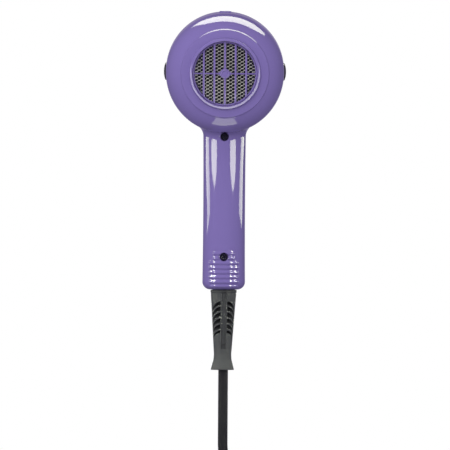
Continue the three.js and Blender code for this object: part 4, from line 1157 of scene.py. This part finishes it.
# outlines of the level cards, as x and y in metres
OVERHEAD = [(-0.62, 0.75), (-0.5, 0.5), (-0.42, 0.3), (-0.33, 0.15), (-0.15, 0.08), (0.12, 0.06),
            (0.4, 0.08), (0.6, 0.17), (0.75, 0.31), (0.86, 0.52), (1.0, 0.79), (0.6, 0.73), (0.1, 0.62),
            (-0.15, 0.65), (-0.42, 0.76)]
UNDER_CHIN = [(-0.0185, -0.0625), (0.0202, -0.0612), (0.0251, -0.0287), (0, -0.0267), (-0.0261, -0.0264)]
LIP_CARD_RADIUS = 28.0
LIP_CARD_END = 112  # degrees either way from the bottom
# a place on the ribs, and the directions of its card's far and near ends, in degrees
RIB_SPARKS = [(-7.0, -15.0, -54, -65), (-9.8, -13.2, -81.5, -92), (5.2, -15.6, 39.5, 48),
              (8.8, -14.0, 71.5, 83)]
SPARK_SPREAD = 4.5  # degrees either side
SPARK_HEIGHT = -25.0
SPARK_REACH = (16, 90)
FLAGS = [(15, 50, 80), (50, 105, 57)]  # two parts of each flag: its ends in degrees and its lower edge
FLAG_TOP = 168
FLAG_DISTANCE = 0.075


def lip_card():
    """A ring round the lower part of the intake's lip, narrowing to nothing as it comes up the sides."""
    steps = 24
    corners = []
    for k in range(steps + 1):
        share = 2 * k / steps - 1
        turn = math.radians(LIP_CARD_END * share)
        across, down = LIP_CARD_RADIUS * math.sin(turn), -LIP_CARD_RADIUS * math.cos(turn)
        for rear in (-46.8 - 2.1 * abs(share), -57.0 + 7.8 * abs(share)):
            corners.append(head_matrix() @ Vector((across, rear, down)))
    faces = [(2 * k, 2 * k + 1, 2 * k + 3, 2 * k + 2) for k in range(steps)]
    card("lip_card", corners, faces, glow("lip_glow", CARD_COLOUR, 6.5, one_sided=True))


def spark_cards():
    """Small bright cards above the grip's ribs, facing down, which give each rib its bright points."""
    spark = glow("spark_glow", CARD_COLOUR, 85, one_sided=True)
    start, end = SPARK_REACH
    for k, (x, y, far, near) in enumerate(RIB_SPARKS):
        corners = []
        for angle, spread, reach in ((near, 1, start), (far, 1, end), (far, -1, end), (near, -1, start)):
            turn = math.radians(angle + spread * SPARK_SPREAD)
            across, back = x + reach * math.sin(turn), y - reach * math.cos(turn)
            corners.append((across * MM, back * MM, (SPARK_HEIGHT + 0.25 * reach) * MM))
        card(f"spark_card_{k}", corners, [(0, 1, 2, 3)], spark)


def flags():
    """Cards as dull as the studio, which keep the bright ones off the sides of the head."""
    hidden = glow("studio_grey", GLOSS, AMBIENT_GLOSS)
    for name, side in (("flag_left", -1), ("flag_right", 1)):
        for k, (first, last, low) in enumerate(FLAGS):
            rows = [(z, first, (first + last) / 2, last) for z in (low, FLAG_TOP)]
            upright_card(f"{name}_{k}", side, rows, hidden, FLAG_DISTANCE)


def make_lights():
    softbox("key", (-0.3, -1.55, 0.55), (0, 0, 0.03), (1.0, 0.8), 5.8)
    softbox("top_light", (-0.05, -0.35, 0.5), (0, -0.03, 0.1), (0.2, 0.15), 4.0)
    softbox("left_fill", (-0.75, -0.3, 0.15), (0, 0, 0.05), (0.5, 0.7), 2.0)
    softbox("right_fill", (0.75, -0.3, -0.1), (0, 0, 0.05), (0.5, 0.7), 1.9)
    softbox("front_fill", (0.35, 1.5, 0.5), (0, 0.05, 0.03), (1.0, 0.8), 4.0)
    inner, outer = glow("inner_glow", CARD_COLOUR, 11), glow("outer_glow", CARD_COLOUR, 6.2)
    upright_card("inner_card_left", -1, INNER_LEFT, inner)
    upright_card("inner_card_right", 1, INNER_RIGHT, inner)
    upright_card("outer_card_left", -1, OUTER_LEFT, outer)
    upright_card("outer_card_right", 1, OUTER_RIGHT, outer)
    spark_cards()
    level_card("overhead_card", OVERHEAD, 0.9, glow("overhead_glow", CARD_COLOUR, 11.5, 5.5))
    level_card("chin_card", UNDER_CHIN, 0, glow("chin_glow", CARD_COLOUR, 3.2, one_sided=True))
    lip_card()
    wall = [(-0.6, 1.5, -0.4), (0.6, 1.5, -0.4), (0.6, 1.5, 0.8), (-0.6, 1.5, 0.8)]
    card("wall_card", wall, [(0, 1, 2, 3)], glow("wall_glow", GLOSS, 0.34))
    flags()


make_floor()
make_world()
make_lights()

scene = bpy.context.scene
scene.view_settings.view_transform = "Standard"
scene.view_settings.look = "None"
